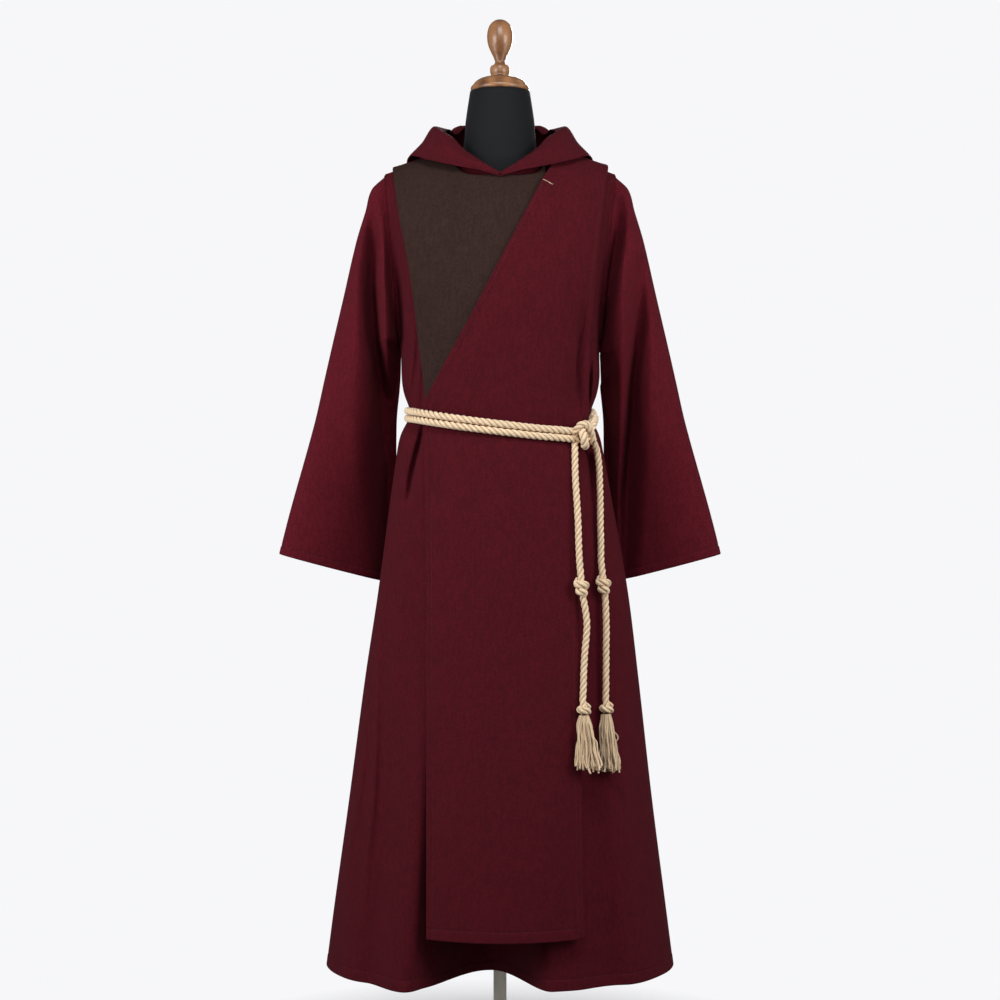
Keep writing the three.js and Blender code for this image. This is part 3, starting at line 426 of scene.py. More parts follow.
MIDDLE_KNOT = {"along": (0.25, 0, -1), "aside": (-1, 0.3, 0), "coil": 0.0064, "pitch": 0.0118, "turns": 1.35,
               "rope": 0.0128}
LAST_KNOT = {"along": (0.05, 0, -1), "aside": (1, 0.3, 0), "coil": 0.0064, "pitch": 0.0062, "turns": 1.2,
             "rope": 0.0112}
TASSEL_NECK = 0.0072
TASSEL_DROP = 0.009
YARN_RADIUS = 0.0015
YARN_POINTS = 22
YARN_SIDES = 7
# The least and the most of what is drawn at random for each yarn.
YARN_REACH = (0.8, 1.06)  # its place from the middle
YARN_TRIM = (0.90, 1.03)  # where it is cut off
YARN_SHADE = (-0.2, 0.7)  # how dark it is
YARN_WAVE = 0.0034
YARN_SWAY = 5.0
YARN_DIFFER = 9.0  # how much the wave differs from yarn to yarn, and how often it turns on the way down
YARN_TURNS = 3.2
# How far the yarns have parted, from 0 at the neck to 1 at the foot, at some places down a tassel.
TASSEL_FLARE = [(0.13, 0.24), (0.28, 0.42), (0.5, 0.56), (0.72, 0.70), (0.9, 0.9)]
KNOT_STEPS = 10  # points in each turn of a knot
KNOT_STEP = 0.0015
KNOT_RUN_IN = 0.3  # how far a knot's rope runs in at each end, against its diameter
KNOT_RUN_SHARE = 0.25  # how near the cord it then lies, against the coil
STRAY_YARN_ROPE = 0.0024


def wound_route(middle, along, aside, coil, pitch, turns, rope):
    """A knot's rope as it winds round the cord, run in to the cord at both ends."""
    axis = Vector(along).normalized()
    first = (Vector(aside) - axis * Vector(aside).dot(axis)).normalized()
    second = first.cross(axis)
    points = []
    count = round(turns * KNOT_STEPS)
    for k in range(-1, count + 2):
        inside = k < 0 or k > count
        share = min(max(k, 0), count) / count
        angle = 2 * math.pi * turns * share
        travel = (share - 0.5) * turns * pitch + (math.copysign(KNOT_RUN_IN * rope, k) if inside else 0)
        reach = KNOT_RUN_SHARE * coil if inside else coil
        spot = Vector(middle) + axis * travel
        spot += first * (reach * math.cos(angle)) + second * (reach * math.sin(angle))
        points.append(tuple(spot))
    return smooth_route(points, KNOT_STEP)


def tassel_tree():
    """Yarns that leave a round neck close together and part towards an oval foot, each a little wavy."""
    g = Tree("tassel yarns", {
        "Yarns": "NodeSocketInt", "Top": "NodeSocketVector", "Foot": "NodeSocketVector",
        "Half Width": "NodeSocketFloat", "Half Depth": "NodeSocketFloat", "Seed": "NodeSocketInt",
        "Material": "NodeSocketMaterial",
    })
    value = g.entry.outputs
    index = g.node("GeometryNodeInputIndex").outputs[0]
    turn = g.math("MULTIPLY", index, math.pi * (3 - math.sqrt(5)))
    reach = g.math("SQRT", g.math("DIVIDE", g.math("ADD", index, 0.5), value["Yarns"]))
    reach = g.math("MULTIPLY", reach, g.random(*YARN_REACH, value["Seed"]))
    spot = g.node("ShaderNodeCombineXYZ", X=g.math("MULTIPLY", reach, g.math("COSINE", turn)),
                  Y=g.math("MULTIPLY", reach, g.math("SINE", turn)))
    points = g.node("GeometryNodePoints", Count=value["Yarns"])
    spots = g.store(points.outputs[0], "spot", spot.outputs[0], "FLOAT_VECTOR")
    spots = g.store(spots, "trim", g.random(*YARN_TRIM, g.math("ADD", value["Seed"], 7)))
    # Each yarn's random darkness goes in the value that holds the rope's painted shade between strands.
    spots = g.store(spots, "groove_shade_and_yarn_darkness", g.random(*YARN_SHADE, g.math("ADD", value["Seed"], 3)))
    line = g.node("GeometryNodeCurvePrimitiveLine", {"mode": "POINTS"}, End=(0.0, 0.0, -0.1))
    yarn = g.node("GeometryNodeResampleCurve", Curve=line, Count=YARN_POINTS)
    copies = g.node("GeometryNodeInstanceOnPoints", Points=spots, Instance=yarn)
    loose = g.node("GeometryNodeRealizeInstances", Geometry=copies)
    spot = g.stored("spot", "FLOAT_VECTOR")
    down = g.node("GeometryNodeSplineParameter").outputs["Factor"]
    flare = g.node("ShaderNodeFloatCurve", Value=down)
    shape = flare.mapping.curves[0].points
    shape[0].location = (0, 0)
    shape[1].location = (1, 1)
    for x, y in TASSEL_FLARE:
        shape.new(x, y)
    flare.mapping.update()
    share = flare.outputs[0]
    middle = g.node("ShaderNodeMix", {"data_type": "VECTOR", "clamp_factor": False},
                    i0=g.math("MULTIPLY", down, g.stored("trim")), i4=value["Top"], i5=value["Foot"])
    neck = (TASSEL_NECK, TASSEL_NECK, 0.0)
    oval = g.node("ShaderNodeCombineXYZ", X=value["Half Width"], Y=value["Half Depth"])
    size = g.node("ShaderNodeMix", {"data_type": "VECTOR"}, i0=share, i4=neck, i5=oval)
    place = g.vector("ADD", middle.outputs[1], g.vector("MULTIPLY", spot, size.outputs[1]))
    own = g.vector("ADD", g.vector("SCALE", spot, scale=YARN_DIFFER),
                   g.node("ShaderNodeCombineXYZ", Z=g.math("MULTIPLY", down, YARN_TURNS)).outputs[0])
    noise = g.node("ShaderNodeTexNoise", Vector=own, Scale=1.0, Detail=1.0)
    wave = g.vector("SUBTRACT", noise.outputs["Color"], (0.5, 0.5, 0.5))
    sway = g.math("MULTIPLY", g.math("MULTIPLY", share, YARN_WAVE), YARN_SWAY)
    moved = g.node("GeometryNodeSetPosition", Geometry=loose,
                   Position=g.vector("ADD", place, g.vector("SCALE", wave, scale=sway)))
    far = g.node("GeometryNodeSplineParameter").outputs["Length"]
    return g.give(g.swept(g.store(moved, "along", far), g.yarn_ring(YARN_SIDES, YARN_RADIUS)))


tassel_yarns = tassel_tree()
STRAY_YARN = [
    (0.180, -0.150, 0.5415), (0.1855, -0.152, 0.536), (0.186, -0.153, 0.530), (0.182, -0.152, 0.526),
]

for name, end in ENDS.items():
    route = smooth_route([*end["upper"], end["middle"], *end["lower"], end["last"]])
    hanging = rope_along(f"rope_{name}_end", [route], HANGING_ROPE)
    knots = []
    for which, size in (("middle", MIDDLE_KNOT), ("last", LAST_KNOT)):
        knotted = rope_along(f"rope_{name}_knot_{which}", [wound_route(end[which], **size)], size["rope"])
        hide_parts(f"{name}_knot_{which}")
        knots.append(knotted)
    top = (end["last"][0], end["last"][1], end["last"][2] - TASSEL_DROP)
    start = curve_object(f"tassel_{name}_line", [np.array([top, end["foot"]])])
    tassel = grown(f"tassel_{name}", start, tassel_yarns, {
        "Yarns": end["yarns"], "Top": top, "Foot": end["foot"], "Half Width": end["width"] / 2,
        "Half Depth": end["depth"] / 2, "Seed": end["seed"], "Material": cotton,
    }, cotton)
    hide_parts(f"{name}_tassel")
    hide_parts(f"{name}_cord_upper", f"{name}_cord_lower")
    extra = []
    if name == "far":
        extra.append(rope_along("tassel_far_stray_yarn", [smooth_route(STRAY_YARN)], STRAY_YARN_ROPE))
    for piece in (hanging, *knots, tassel, *extra):
        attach(piece, "root")


# ---------- Robe ----------
# The robe is heavy maroon wool twill. Its front and its back are sewn at the sides and shoulders, the
# hem is turned up and stitched once round, and the skirt falls in folds that start below the belt.

WOOL = 0.0022  # thickness
SEAM_GAP = 0.0003
HEM_Z = 0.147
UNDERARM_Z = 1.165
SHOULDER_X = 0.190
NECK_X = 0.078
NECK_SIDE_Z = 1.483
SHOULDER_SLOPE = 0.337
NECK_DROP = {"front": 0.054, "back": 0.008}
SHOULDER_ROUND = 0.110
SHOULDER_POWER = 1.8
SECTION_POWER = 2.1
FOLD_EDGE_POWER = 6
OVAL_POWER = 0.9
ARMHOLE_PULL_POWER = 14
ARMHOLE_PULL_FULL = 0.3
ARMHOLE_PULL_LEAST = 0.12
HEM_TURN = 0.016  # depth of a turned hem, up to its stitching
HEM_SWELL = 0.0005  # how much a turned hem stands out
HEM_SLOPE = 0.002  # the swell dies away over this much before the stitching
FOLD_FULLNESS = 0.42  # how far a folded edge stands out, against the cloth's thickness
STITCH_SINK = 0.0007
STITCH_DENT = 0.0011  # half width of the dent along a row of stitches
STITCH_PITCH = 0.0042
STITCH_LENGTH = 0.0032
STITCH_RADIUS = 0.0003
STITCH_END = 0.4  # radius at a stitch's ends, against its middle
STITCH_POINTS = 5
STITCH_SIDES = 6
ROBE_CELL = 0.0058
ARMHOLE_STEPS = 48
NECK_COLUMNS = 25  # columns from the middle to the side of the neck, and from there to the armhole
SHOULDER_COLUMNS = 57
AT_SIDE = 0.9999  # beyond this share of its half width, a place counts as the panel's edge
NECK_SLACK = 0.001
CREASE_STEP = 0.012  # distance between the points of a crease's line
CREASE_TAPER = 0.7
TINY = 1e-12


def table(names, *rows):
    """The columns of a table of measurements, by name."""
    return {name: np.array(column, float) for name, column in zip(names.split(), zip(*rows))}


BODY = table(
    "z half front back shift",
    (0.147, 0.285, 0.230, 0.234, 0.000),
    (0.240, 0.273, 0.216, 0.220, 0.000),
    (0.420, 0.249, 0.190, 0.195, 0.001),
    (0.617, 0.225, 0.164, 0.169, 0.003),
    (0.756, 0.206, 0.147, 0.151, 0.005),
    (0.900, 0.184, 0.133, 0.135, 0.002),
    (1.000, 0.168, 0.122, 0.121, 0.000),
    (1.060, 0.160, 0.117, 0.113, 0.000),
    (1.110, 0.1632, 0.120, 0.112, 0.001),
    (1.165, 0.1652, 0.123, 0.112, 0.000),
    (1.240, 0.184, 0.128, 0.116, 0.000),
    (1.300, 0.200, 0.124, 0.116, 0.000),
    (1.380, 0.206, 0.112, 0.112, 0.000),
    (1.440, 0.206, 0.098, 0.104, 0.000),
    (1.520, 0.206, 0.084, 0.090, 0.000),
)
# The skirt's folds: place across, reach to each side, depth inwards at the hem, height where it ends.
FOLDS = {
    "front": [
        (-0.05, 0.44, 0.335, 0.165, 0.800),
        (-0.54, 0.20, 0.13, -0.028, 0.900),
        (-0.70, 0.13, 0.13, 0.003, 0.780),
        (-0.84, 0.12, 0.12, -0.005, 0.860),
        (0.58, 0.17, 0.15, 0.010, 0.700),
        (0.78, 0.14, 0.14, -0.008, 0.760),
    ],
    "back": [
        (0.10, 0.30, 0.28, 0.074, 0.780),
        (0.46, 0.22, 0.20, -0.024, 0.880),
        (-0.30, 0.20, 0.22, -0.020, 0.900),
        (-0.62, 0.20, 0.20, 0.028, 0.720),
        (0.76, 0.15, 0.15, 0.014, 0.660),
    ],
}
FOLD_FADE = 1.3
FRONT_BELT = table(
    "x z",
    (-0.160, 1.049),
    (-0.113, 1.040),
    (-0.048, 1.029),
    (0.063, 1.016),
    (0.118, 1.012),
    (0.141, 1.023),
    (0.160, 1.046),
)
BACK_BELT_Z = 1.051
CINCH_SIDE = 0.0125
CINCH_DEPTH = 0.006
CINCH_REACH = 0.026  # this far above or below the rope, a third of the pull is left
# Creases: the (x, z) points that each runs through, its half width, and its depth (less than 0 for a
# ridge). The belt gathers the cloth, and the bust, the armholes and the hips pull it.
CREASES = {
    "front": [
        ([(-0.189, 1.430), (-0.180, 1.340), (-0.173, 1.270), (-0.168, 1.200),
          (-0.163, 1.110)], 0.0105, 0.0480),
        ([(0.189, 1.430), (0.181, 1.340), (0.174, 1.270), (0.168, 1.200),
          (0.163, 1.110)], 0.0105, 0.0480),
        ([(-0.121, 1.040), (-0.130, 1.000), (-0.141, 0.957), (-0.149, 0.900)], 0.0046, 0.0220),
        ([(-0.151, 1.030), (-0.155, 0.990), (-0.160, 0.930), (-0.163, 0.860)], 0.0060, -0.0070),
        ([(-0.146, 1.048), (-0.141, 1.085), (-0.135, 1.130), (-0.130, 1.190)], 0.0050, 0.0110),
        ([(-0.128, 1.046), (-0.126, 1.090), (-0.122, 1.150)], 0.0046, 0.0080),
        ([(-0.156, 1.213), (-0.146, 1.210), (-0.132, 1.2125)], 0.0050, 0.0080),
        ([(-0.158, 1.206), (-0.146, 1.203), (-0.130, 1.201)], 0.0050, -0.0012),
        ([(0.119, 1.034), (0.1225, 1.080), (0.126, 1.150), (0.130, 1.230)], 0.0056, 0.0140),
        ([(0.143, 1.036), (0.144, 1.075), (0.147, 1.120), (0.150, 1.170)], 0.0042, 0.0220),
        ([(0.150, 1.040), (0.152, 1.080), (0.155, 1.130)], 0.0045, -0.0080),
        ([(0.150, 1.020), (0.158, 0.970), (0.168, 0.900), (0.176, 0.820)], 0.0070, -0.0090),
        ([(0.141, 1.015), (0.147, 0.960), (0.150, 0.900)], 0.0050, 0.0140),
        ([(-0.183, 0.820), (-0.196, 0.698), (-0.199, 0.590), (-0.2025, 0.435), (-0.212, 0.347),
          (-0.2175, 0.224)], 0.0064, -0.0105),
        ([(-0.174, 0.800), (-0.186, 0.660), (-0.190, 0.480), (-0.200, 0.300)], 0.0090, 0.0040),
        ([(-0.207, 0.700), (-0.2095, 0.560), (-0.216, 0.420), (-0.232, 0.260)], 0.0070, 0.0050),
        ([(-0.212, 0.600), (-0.2175, 0.532), (-0.227, 0.444), (-0.239, 0.369),
          (-0.2526, 0.250)], 0.0064, -0.0110),
        ([(0.205, 0.820), (0.222, 0.620), (0.243, 0.400)], 0.0180, 0.0040),
        ([(0.180, 0.600), (0.190, 0.420), (0.196, 0.200)], 0.0260, -0.0050),
        ([(-0.165, 0.760), (-0.166, 0.560), (-0.160, 0.380)], 0.0200, -0.0040),
    ],
    "back": [
        ([(-0.188, 1.430), (-0.179, 1.340), (-0.172, 1.250), (-0.165, 1.150)], 0.0100, 0.0260),
        ([(0.188, 1.430), (0.179, 1.340), (0.172, 1.250), (0.165, 1.150)], 0.0100, 0.0240),
        ([(-0.140, 1.030), (-0.152, 0.960), (-0.166, 0.860)], 0.0080, 0.0040),
        ([(-0.150, 1.075), (-0.146, 1.130), (-0.142, 1.190)], 0.0070, 0.0032),
        ([(0.142, 1.030), (0.154, 0.950), (0.170, 0.840)], 0.0090, 0.0046),
        ([(0.148, 1.076), (0.146, 1.140), (0.140, 1.200)], 0.0070, 0.0036),
        ([(0.180, 0.860), (0.206, 0.640), (0.232, 0.400)], 0.0140, -0.0046),
        ([(-0.176, 0.800), (-0.198, 0.600), (-0.214, 0.380)], 0.0160, -0.0050),
        ([(-0.205, 0.700), (-0.228, 0.500), (-0.250, 0.280)], 0.0120, 0.0046),
    ],
}


def read(rows, column, at, key="z"):
    """A smooth curve through one column of a table, read wherever it is wanted."""
    keys, values = rows[key], rows[column]
    last = len(keys) - 1
    at = np.asarray(at, float)
    i = np.clip(np.searchsorted(keys, at) - 1, 0, last - 1)
    span = keys[i + 1] - keys[i]
    t = np.clip((at - keys[i]) / span, 0, 1)
    before = np.maximum(np.arange(last + 1) - 1, 0)
    after = np.minimum(np.arange(last + 1) + 1, last)
    slope = (values[after] - values[before]) / (keys[after] - keys[before])
    entry, leave = slope[i] * span, slope[i + 1] * span
    rise = values[i + 1] - values[i]
    return values[i] + t * (entry + t * (3 * rise - 2 * entry - leave + t * (entry + leave - 2 * rise)))


def mix(a, b, share):
    return a + (b - a) * share


def bump(t):
    """A soft bump of height 1 that is 0 beyond -1 and 1."""
    return np.clip(1 - np.square(t), 0, None) ** 2


def unit(vectors):
    return vectors / np.maximum(np.linalg.norm(vectors, axis=-1, keepdims=True), TINY)


def outwards(side):
    return -1 if side == "front" else 1


def creased(across, up, creases):
    """How far inwards the listed creases take the cloth at each place."""
    across, up = np.broadcast_arrays(across, up)
    inwards = np.zeros(across.shape)
    for points, width, depth in creases:
        line = smooth_route([(a, 0, b) for a, b in points], CREASE_STEP)[:, (0, 2)]
        low, high = line.min(axis=0) - 3 * width, line.max(axis=0) + 3 * width
        near = (across > low[0]) & (across < high[0]) & (up > low[1]) & (up < high[1])
        spots = np.column_stack([across[near], up[near]])
        best = np.full(len(spots), np.inf)
        share = np.zeros(len(spots))
        for k, (a, b) in enumerate(zip(line, line[1:])):
            run = b - a
            t = np.clip((spots - a) @ run / (run @ run), 0, 1)
            gap = np.linalg.norm(spots - a - t[:, None] * run, axis=1)
            closer = gap < best
            best[closer] = gap[closer]
            share[closer] = (k + t[closer]) / (len(line) - 1)
        inwards[near] += depth * np.exp(-np.square(best / width)) * np.sin(np.pi * share) ** CREASE_TAPER
    return inwards


def ridge_z(x):
    return NECK_SIDE_Z - SHOULDER_SLOPE * (np.abs(x) - NECK_X)


def ridge_normal(x):
    return unit(np.stack([np.sign(x) * SHOULDER_SLOPE, np.zeros_like(x), np.ones_like(x)], -1))


def robe_top_z(side, x):
    share = np.sqrt(np.clip(1 - np.square(x / NECK_X), 0, None))
    return np.where(np.abs(x) < NECK_X, NECK_SIDE_Z - NECK_DROP[side] * share**OVAL_POWER, ridge_z(x))


def cinch_at(side, x, z):
    belt = read(FRONT_BELT, "z", np.clip(x, -0.16, 0.16), "x") if side == "front" else BACK_BELT_Z
    return np.exp(-np.square((z - belt) / CINCH_REACH))


def fold_at(side, x, z):
    across = (x - read(BODY, "shift", z)) / read(BODY, "half", z)
    inwards = 0
    for at, left, right, depth, head in FOLDS[side]:
        reach = np.where(across < at, left, right)
        fade = np.clip((head - z) / (head - HEM_Z), 0, 1) ** FOLD_FADE
        inwards = inwards + depth * fade * bump((across - at) / reach)
    return inwards


def depth_at(side, x, z, folded):
    """How far the robe stands before or behind its side seams, with the folds where asked."""
    cinch = cinch_at(side, x, z)
    depth = read(BODY, side, z) - CINCH_DEPTH * cinch
    half = read(BODY, "half", z) - CINCH_SIDE * cinch
    across = np.clip(np.abs(x - read(BODY, "shift", z)) / half, 0, 1)
    level = depth * (1 - across**SECTION_POWER) ** (1 / SECTION_POWER)
    below = np.clip((ridge_z(x) - z) / SHOULDER_ROUND, 0, 1)
    rounded = level * (1 - (1 - below) ** SHOULDER_POWER) ** (1 / SHOULDER_POWER)
    if not folded:
        return rounded
    edge = np.sqrt(np.clip(1 - across**FOLD_EDGE_POWER, 0, None))
    return rounded - (fold_at(side, x, z) + creased(x, z, CREASES[side])) * edge


# The sleeve's rings, which the robe's armhole follows: height of the inner and outer edge, bulge of
# the front and back, and how far each edge hangs back.
SLEEVE = table(
    "ring inner outer front back inner_back outer_back",
    (0, 1.165, 1.441, 0.036, 0.066, 0.000, 0.000),
    (1, 1.163, 1.420, 0.050, 0.078, 0.001, 0.001),
    (2, 1.158, 1.384, 0.061, 0.085, 0.003, 0.002),
    (3, 1.149, 1.334, 0.066, 0.083, 0.007, 0.004),
    (4, 1.134, 1.272, 0.065, 0.070, 0.014, 0.006),
    (5, 1.108, 1.200, 0.061, 0.064, 0.026, 0.009),
    (6, 1.062, 1.115, 0.057, 0.058, 0.048, 0.014),
    (7, 0.985, 1.025, 0.053, 0.053, 0.076, 0.021),
    (8, 0.890, 0.932, 0.050, 0.050, 0.098, 0.029),
    (9, 0.765, 0.819, 0.046, 0.046, 0.112, 0.038),
)
SLEEVE_EDGES = table(
    "z inner outer",
    (0.765, 0.171, 0.3795),
    (0.821, 0.172, 0.367),
    (0.890, 0.176, 0.349),
    (1.033, 0.1755, 0.308),
    (1.108, 0.1676, 0.2904),
    (1.165, 0.1655, 0.277),
    (1.240, 0.166, 0.259),
    (1.334, 0.166, 0.237),
    (1.384, 0.166, 0.222),
    (1.420, 0.166, 0.2115),
    (1.441, 0.166, 0.190),
)
ARMHOLE_LEAN_FROM = 60
ARMHOLE_LEAN_SIDE = 0.34


def spread(u):
    return np.sign(u) * np.abs(np.sin(u * np.pi / 2)) ** (2 / SECTION_POWER)


def unspread(x):
    return np.sign(x) * np.arcsin(np.abs(x) ** (SECTION_POWER / 2)) * 2 / np.pi


def armhole_at(side, z):
    """Half width of the robe, depth of the armhole's edge and place round it at a height."""
    low, high = SLEEVE["inner"][0], SLEEVE["outer"][0]
    share = np.clip((z - low) / (high - low), 0, 1)
    angle = np.arccos(1 - 2 * share)
    x = mix(read(SLEEVE_EDGES, "inner", low), SHOULDER_X, share) - SEAM_GAP
    return x, SLEEVE[side][0] * np.sin(angle) ** OVAL_POWER, np.degrees(angle)


def armhole_lean(side, sideways, degrees):
    """The direction that both walls share along the armhole seam."""
    angle = np.radians(degrees)
    up = np.maximum(0, -np.cos(angle))
    return unit(np.stack([ARMHOLE_LEAN_SIDE * sideways, outwards(side) * np.sin(angle), up], -1))


def robe_skirt(side, u, z):
    half = read(BODY, "half", z)
    x = read(BODY, "shift", z) + (half - CINCH_SIDE * cinch_at(side, half * spread(u), z)) * spread(u)
    depth = np.maximum(depth_at(side, x, z, True), SEAM_GAP / 2)
    depth = np.where(np.abs(u) > AT_SIDE, SEAM_GAP / 2, depth)
    return np.stack([x, outwards(side) * depth, np.broadcast_to(z, x.shape)], -1)


def robe_upper(side, foot, top, share):
    u = mix(foot, top, share)
    height = np.where(np.abs(u) > AT_SIDE, SLEEVE["outer"][0], robe_top_z(side, SHOULDER_X * spread(top)))
    z = mix(UNDERARM_Z, height, share)
    wide, deep, _ = armhole_at(side, z)
    x = wide * spread(u)
    free = depth_at(side, x, z, True)
    # Low in the armhole only the very edge of the panel bends out to the seam.
    power = ARMHOLE_PULL_POWER / np.clip(share / ARMHOLE_PULL_FULL, ARMHOLE_PULL_LEAST, 1)
    depth = np.maximum(mix(free, deep, np.abs(spread(u)) ** power), SEAM_GAP / 2)
    return np.stack([x, outwards(side) * depth, z], -1)


def rows_from(foot, head, cell):
    """Heights of a panel's rows, drawn together at the fold and at the stitching of its hem."""
    near = np.array([0, 0.0012, 0.004, 0.009, *(HEM_TURN + k for k in (-0.003, -0.0013, 0, 0.0013, 0.003))])
    count = round((head - foot - near[-1]) / cell)
    return np.concatenate([foot + near, np.linspace(foot + near[-1], head, count + 1)[1:]])


def hem_relief(far, turn=HEM_TURN):
    """How far a turned hem stands out at each distance from its edge, with the stitching sunk in."""
    swell = HEM_SWELL * np.clip((turn - far) / HEM_SLOPE, 0, 1)
    return swell - STITCH_SINK * np.exp(-np.square((far - turn) / STITCH_DENT))


def facing(grid, closed):
    """Outward normals of a grid of points."""
    wide = np.concatenate([grid, grid[:, :1]], 1) if closed else grid
    across = wide[1:, 1:] - wide[:-1, :-1]
    up = wide[1:, :-1] - wide[:-1, 1:]
    flat = unit(np.cross(across, up))
    normals = np.zeros_like(wide)
    for i in (0, 1):
        for j in (0, 1):
            normals[i : i + len(flat), j : j + flat.shape[1]] += flat
    if closed:
        normals[:, 0] += normals[:, -1]
        normals = normals[:, :-1]
    return unit(normals)


def cloth_wall(name, grid, thickness, material, closed=False, lean=None, relief=None, soft=()):
    """A closed wall of cloth whose outer face is a grid of points: rows climb, and columns run from
    left to right as seen from outside. `soft` names the edges that are folded, so rounded."""
    normals = facing(grid, closed)
    if relief is not None:
        grid = grid + normals * relief[..., None]
        normals = facing(grid, closed)
    if lean is not None:
        given = ~np.isnan(lean[..., 0])
        normals[given] = lean[given]
    high, wide = grid.shape[:2]
    inner = grid - normals * thickness
    ids = np.arange(high * wide).reshape(high, wide)
    columns = np.arange(wide + 1) % wide if closed else np.arange(wide)
    run = np.linalg.norm(np.diff(grid[:, columns], axis=1), axis=-1)
    u = np.concatenate([np.zeros((high, 1)), np.cumsum(run, axis=1)], 1)
    if not closed:
        u -= u[:, wide // 2 : wide // 2 + 1]
    rise = np.linalg.norm(np.diff(grid, axis=0), axis=-1)
    v = np.concatenate([np.zeros((1, wide)), np.cumsum(rise, axis=0)], 0)[:, columns]
    flat = np.stack([u, v], -1)
    shift = high * wide
    cells = ids[:, columns]
    corners, flat_corners = (
        [spots[:-1, :-1], spots[:-1, 1:], spots[1:, 1:], spots[1:, :-1]] for spots in (cells, flat)
    )
    quads = []
    places = []
    for order, lower in (((0, 1, 2, 3), 0), ((0, 3, 2, 1), shift)):
        quads.append(np.stack([corners[k] for k in order], -1).reshape(-1, 4) + lower)
        places.append(np.stack([flat_corners[k] for k in order], -2).reshape(-1, 4, 2))
    points = [grid.reshape(-1, 3), inner.reshape(-1, 3)]
    count = 2 * shift
    bottom = [(0, k, "foot") for k in range(len(columns))]
    top = [(high - 1, k, "head") for k in range(len(columns))][::-1]
    if closed:
        loops = [bottom, top]
    else:
        right = [(k, wide - 1, "right") for k in range(high)]
        left = [(k, 0, "left") for k in range(high)][::-1]
        loops = [bottom[:-1] + right[:-1] + top[:-1] + left[:-1]]
        loops[0].append(loops[0][0])
    for loop in loops:
        i = np.array([spot[0] for spot in loop])
        j = np.array([spot[1] for spot in loop])
        k = columns[j]
        inside_i = np.clip(i, 1, high - 2)
        inside_j = k if closed else np.clip(k, 1, wide - 2)
        away = unit(grid[i, k] - grid[inside_i, inside_j])
        push = np.array([FOLD_FULLNESS * thickness if spot[2] in soft else 0.0 for spot in loop])
        middle = (grid[i, k] + inner[i, k]) / 2 + away * push[:, None]
        rim = middle[:-1]
        points.append(rim)
        number = count + np.arange(len(rim))
        after = np.roll(number, -1)
        o, n = ids[i, k], ids[i, k] + shift
        quads.append(np.stack([o[:-1], number, after, o[1:]], -1))
        quads.append(np.stack([number, n[:-1], n[1:], after], -1))
        place = flat[i, j]
        for _ in range(2):
            places.append(np.stack([place[:-1], place[:-1], place[1:], place[1:]], -2))
        count += len(rim)
    mesh = bpy.data.meshes.new(name)
    quads = np.concatenate(quads)
    mesh.from_pydata(np.concatenate(points).tolist(), [], quads.tolist())
    layer = mesh.uv_layers.new(name="grain")
    layer.data.foreach_set("uv", np.concatenate(places).reshape(-1))
    mesh.materials.append(material)
    mesh.shade_smooth()
    return placed(name, mesh), grid


TWILL_RIBS = 900.0  # in a metre


def wool_group():
    """Twill ribs, single threads and the nap over them, on the cloth's own grain in metres."""
    g = Shader("wool twill", ("Height", "Painted Weave Light", "Mottle"))
    split = g.node("ShaderNodeSeparateXYZ", i0=g.node("ShaderNodeUVMap", {"uv_map": "grain"}))
    slant = g.math("ADD", split.outputs[0], g.math("MULTIPLY", split.outputs[1], 0.8))
    place = g.object_place()
    drift = g.math("MULTIPLY", g.math("SUBTRACT", g.noise(place, 260, 2), 0.5), 0.0009)
    phase = g.math("MULTIPLY", g.math("ADD", slant, drift), TWILL_RIBS)
    rib = g.math("ABSOLUTE", g.math("SINE", g.math("MULTIPLY", phase, math.pi)))
    cross = g.math("SUBTRACT", split.outputs[0], split.outputs[1])
    thread = g.math("SINE", g.math("MULTIPLY", g.math("MULTIPLY", cross, TWILL_RIBS), 2 * math.pi))
    nap = g.noise(place, 1300, 4, 0.7)
    fine = g.noise(place, 300, 2, 0.6)
    slub = g.noise(g.stretched(0.25), 210, 2, 0.6)
    broad = g.noise(place, 28, 2, 0.5)
    g.feed(g.exit.inputs["Height"], g.total((rib, 0.55), (thread, 0.08), (nap, 0.6)))
    # Painted shade and highlight: the ribs and the nap that stand up make the colour paler, and the gaps
    # between ribs darker.
    g.feed(g.exit.inputs["Painted Weave Light"], g.total((rib, 0.4), (nap, 0.6)))
    g.feed(g.exit.inputs["Mottle"], g.total((fine, 0.55), (slub, 0.35), (broad, 0.10)))
    return g


twill_pattern = wool_group()


def wool(name, dark, middle, light, sheen):
    """A heathered wool, painted darker between the ribs and paler on the ribs and the nap that stand over
    them, as painted shade and highlight.
    """
    m = Shader(name)
    twill = m.node("ShaderNodeGroup", {"node_tree": twill_pattern.tree}).outputs
    tone = m.blend(m.ramp(twill["Mottle"], 0.41, 0.59), dark, middle)
    # The weave's raised ribs and nap are painted paler, as painted highlight.
    weave_highlight = m.ramp(twill["Painted Weave Light"], 0.35, 0.8)
    colour = m.blend(m.math("MULTIPLY", weave_highlight, 0.6), tone, light)
    rough = m.ramp(twill["Mottle"], 0.3, 0.7, 0.86, 0.98)
    return m.finish(colour, rough, m.bump(twill["Height"], 0.00045, 0.7),
                    Specular_IOR_Level=0.10, Sheen_Weight=sheen, Sheen_Roughness=0.55,
                    Sheen_Tint=(*(min(1, 3.2 * c + 0.12) for c in light[:3]), 1))


maroon = wool("maroon wool", (0.036, 0.0019, 0.0043, 1), (0.072, 0.0042, 0.0092, 1),
              (0.105, 0.0085, 0.0165, 1), 0.04)


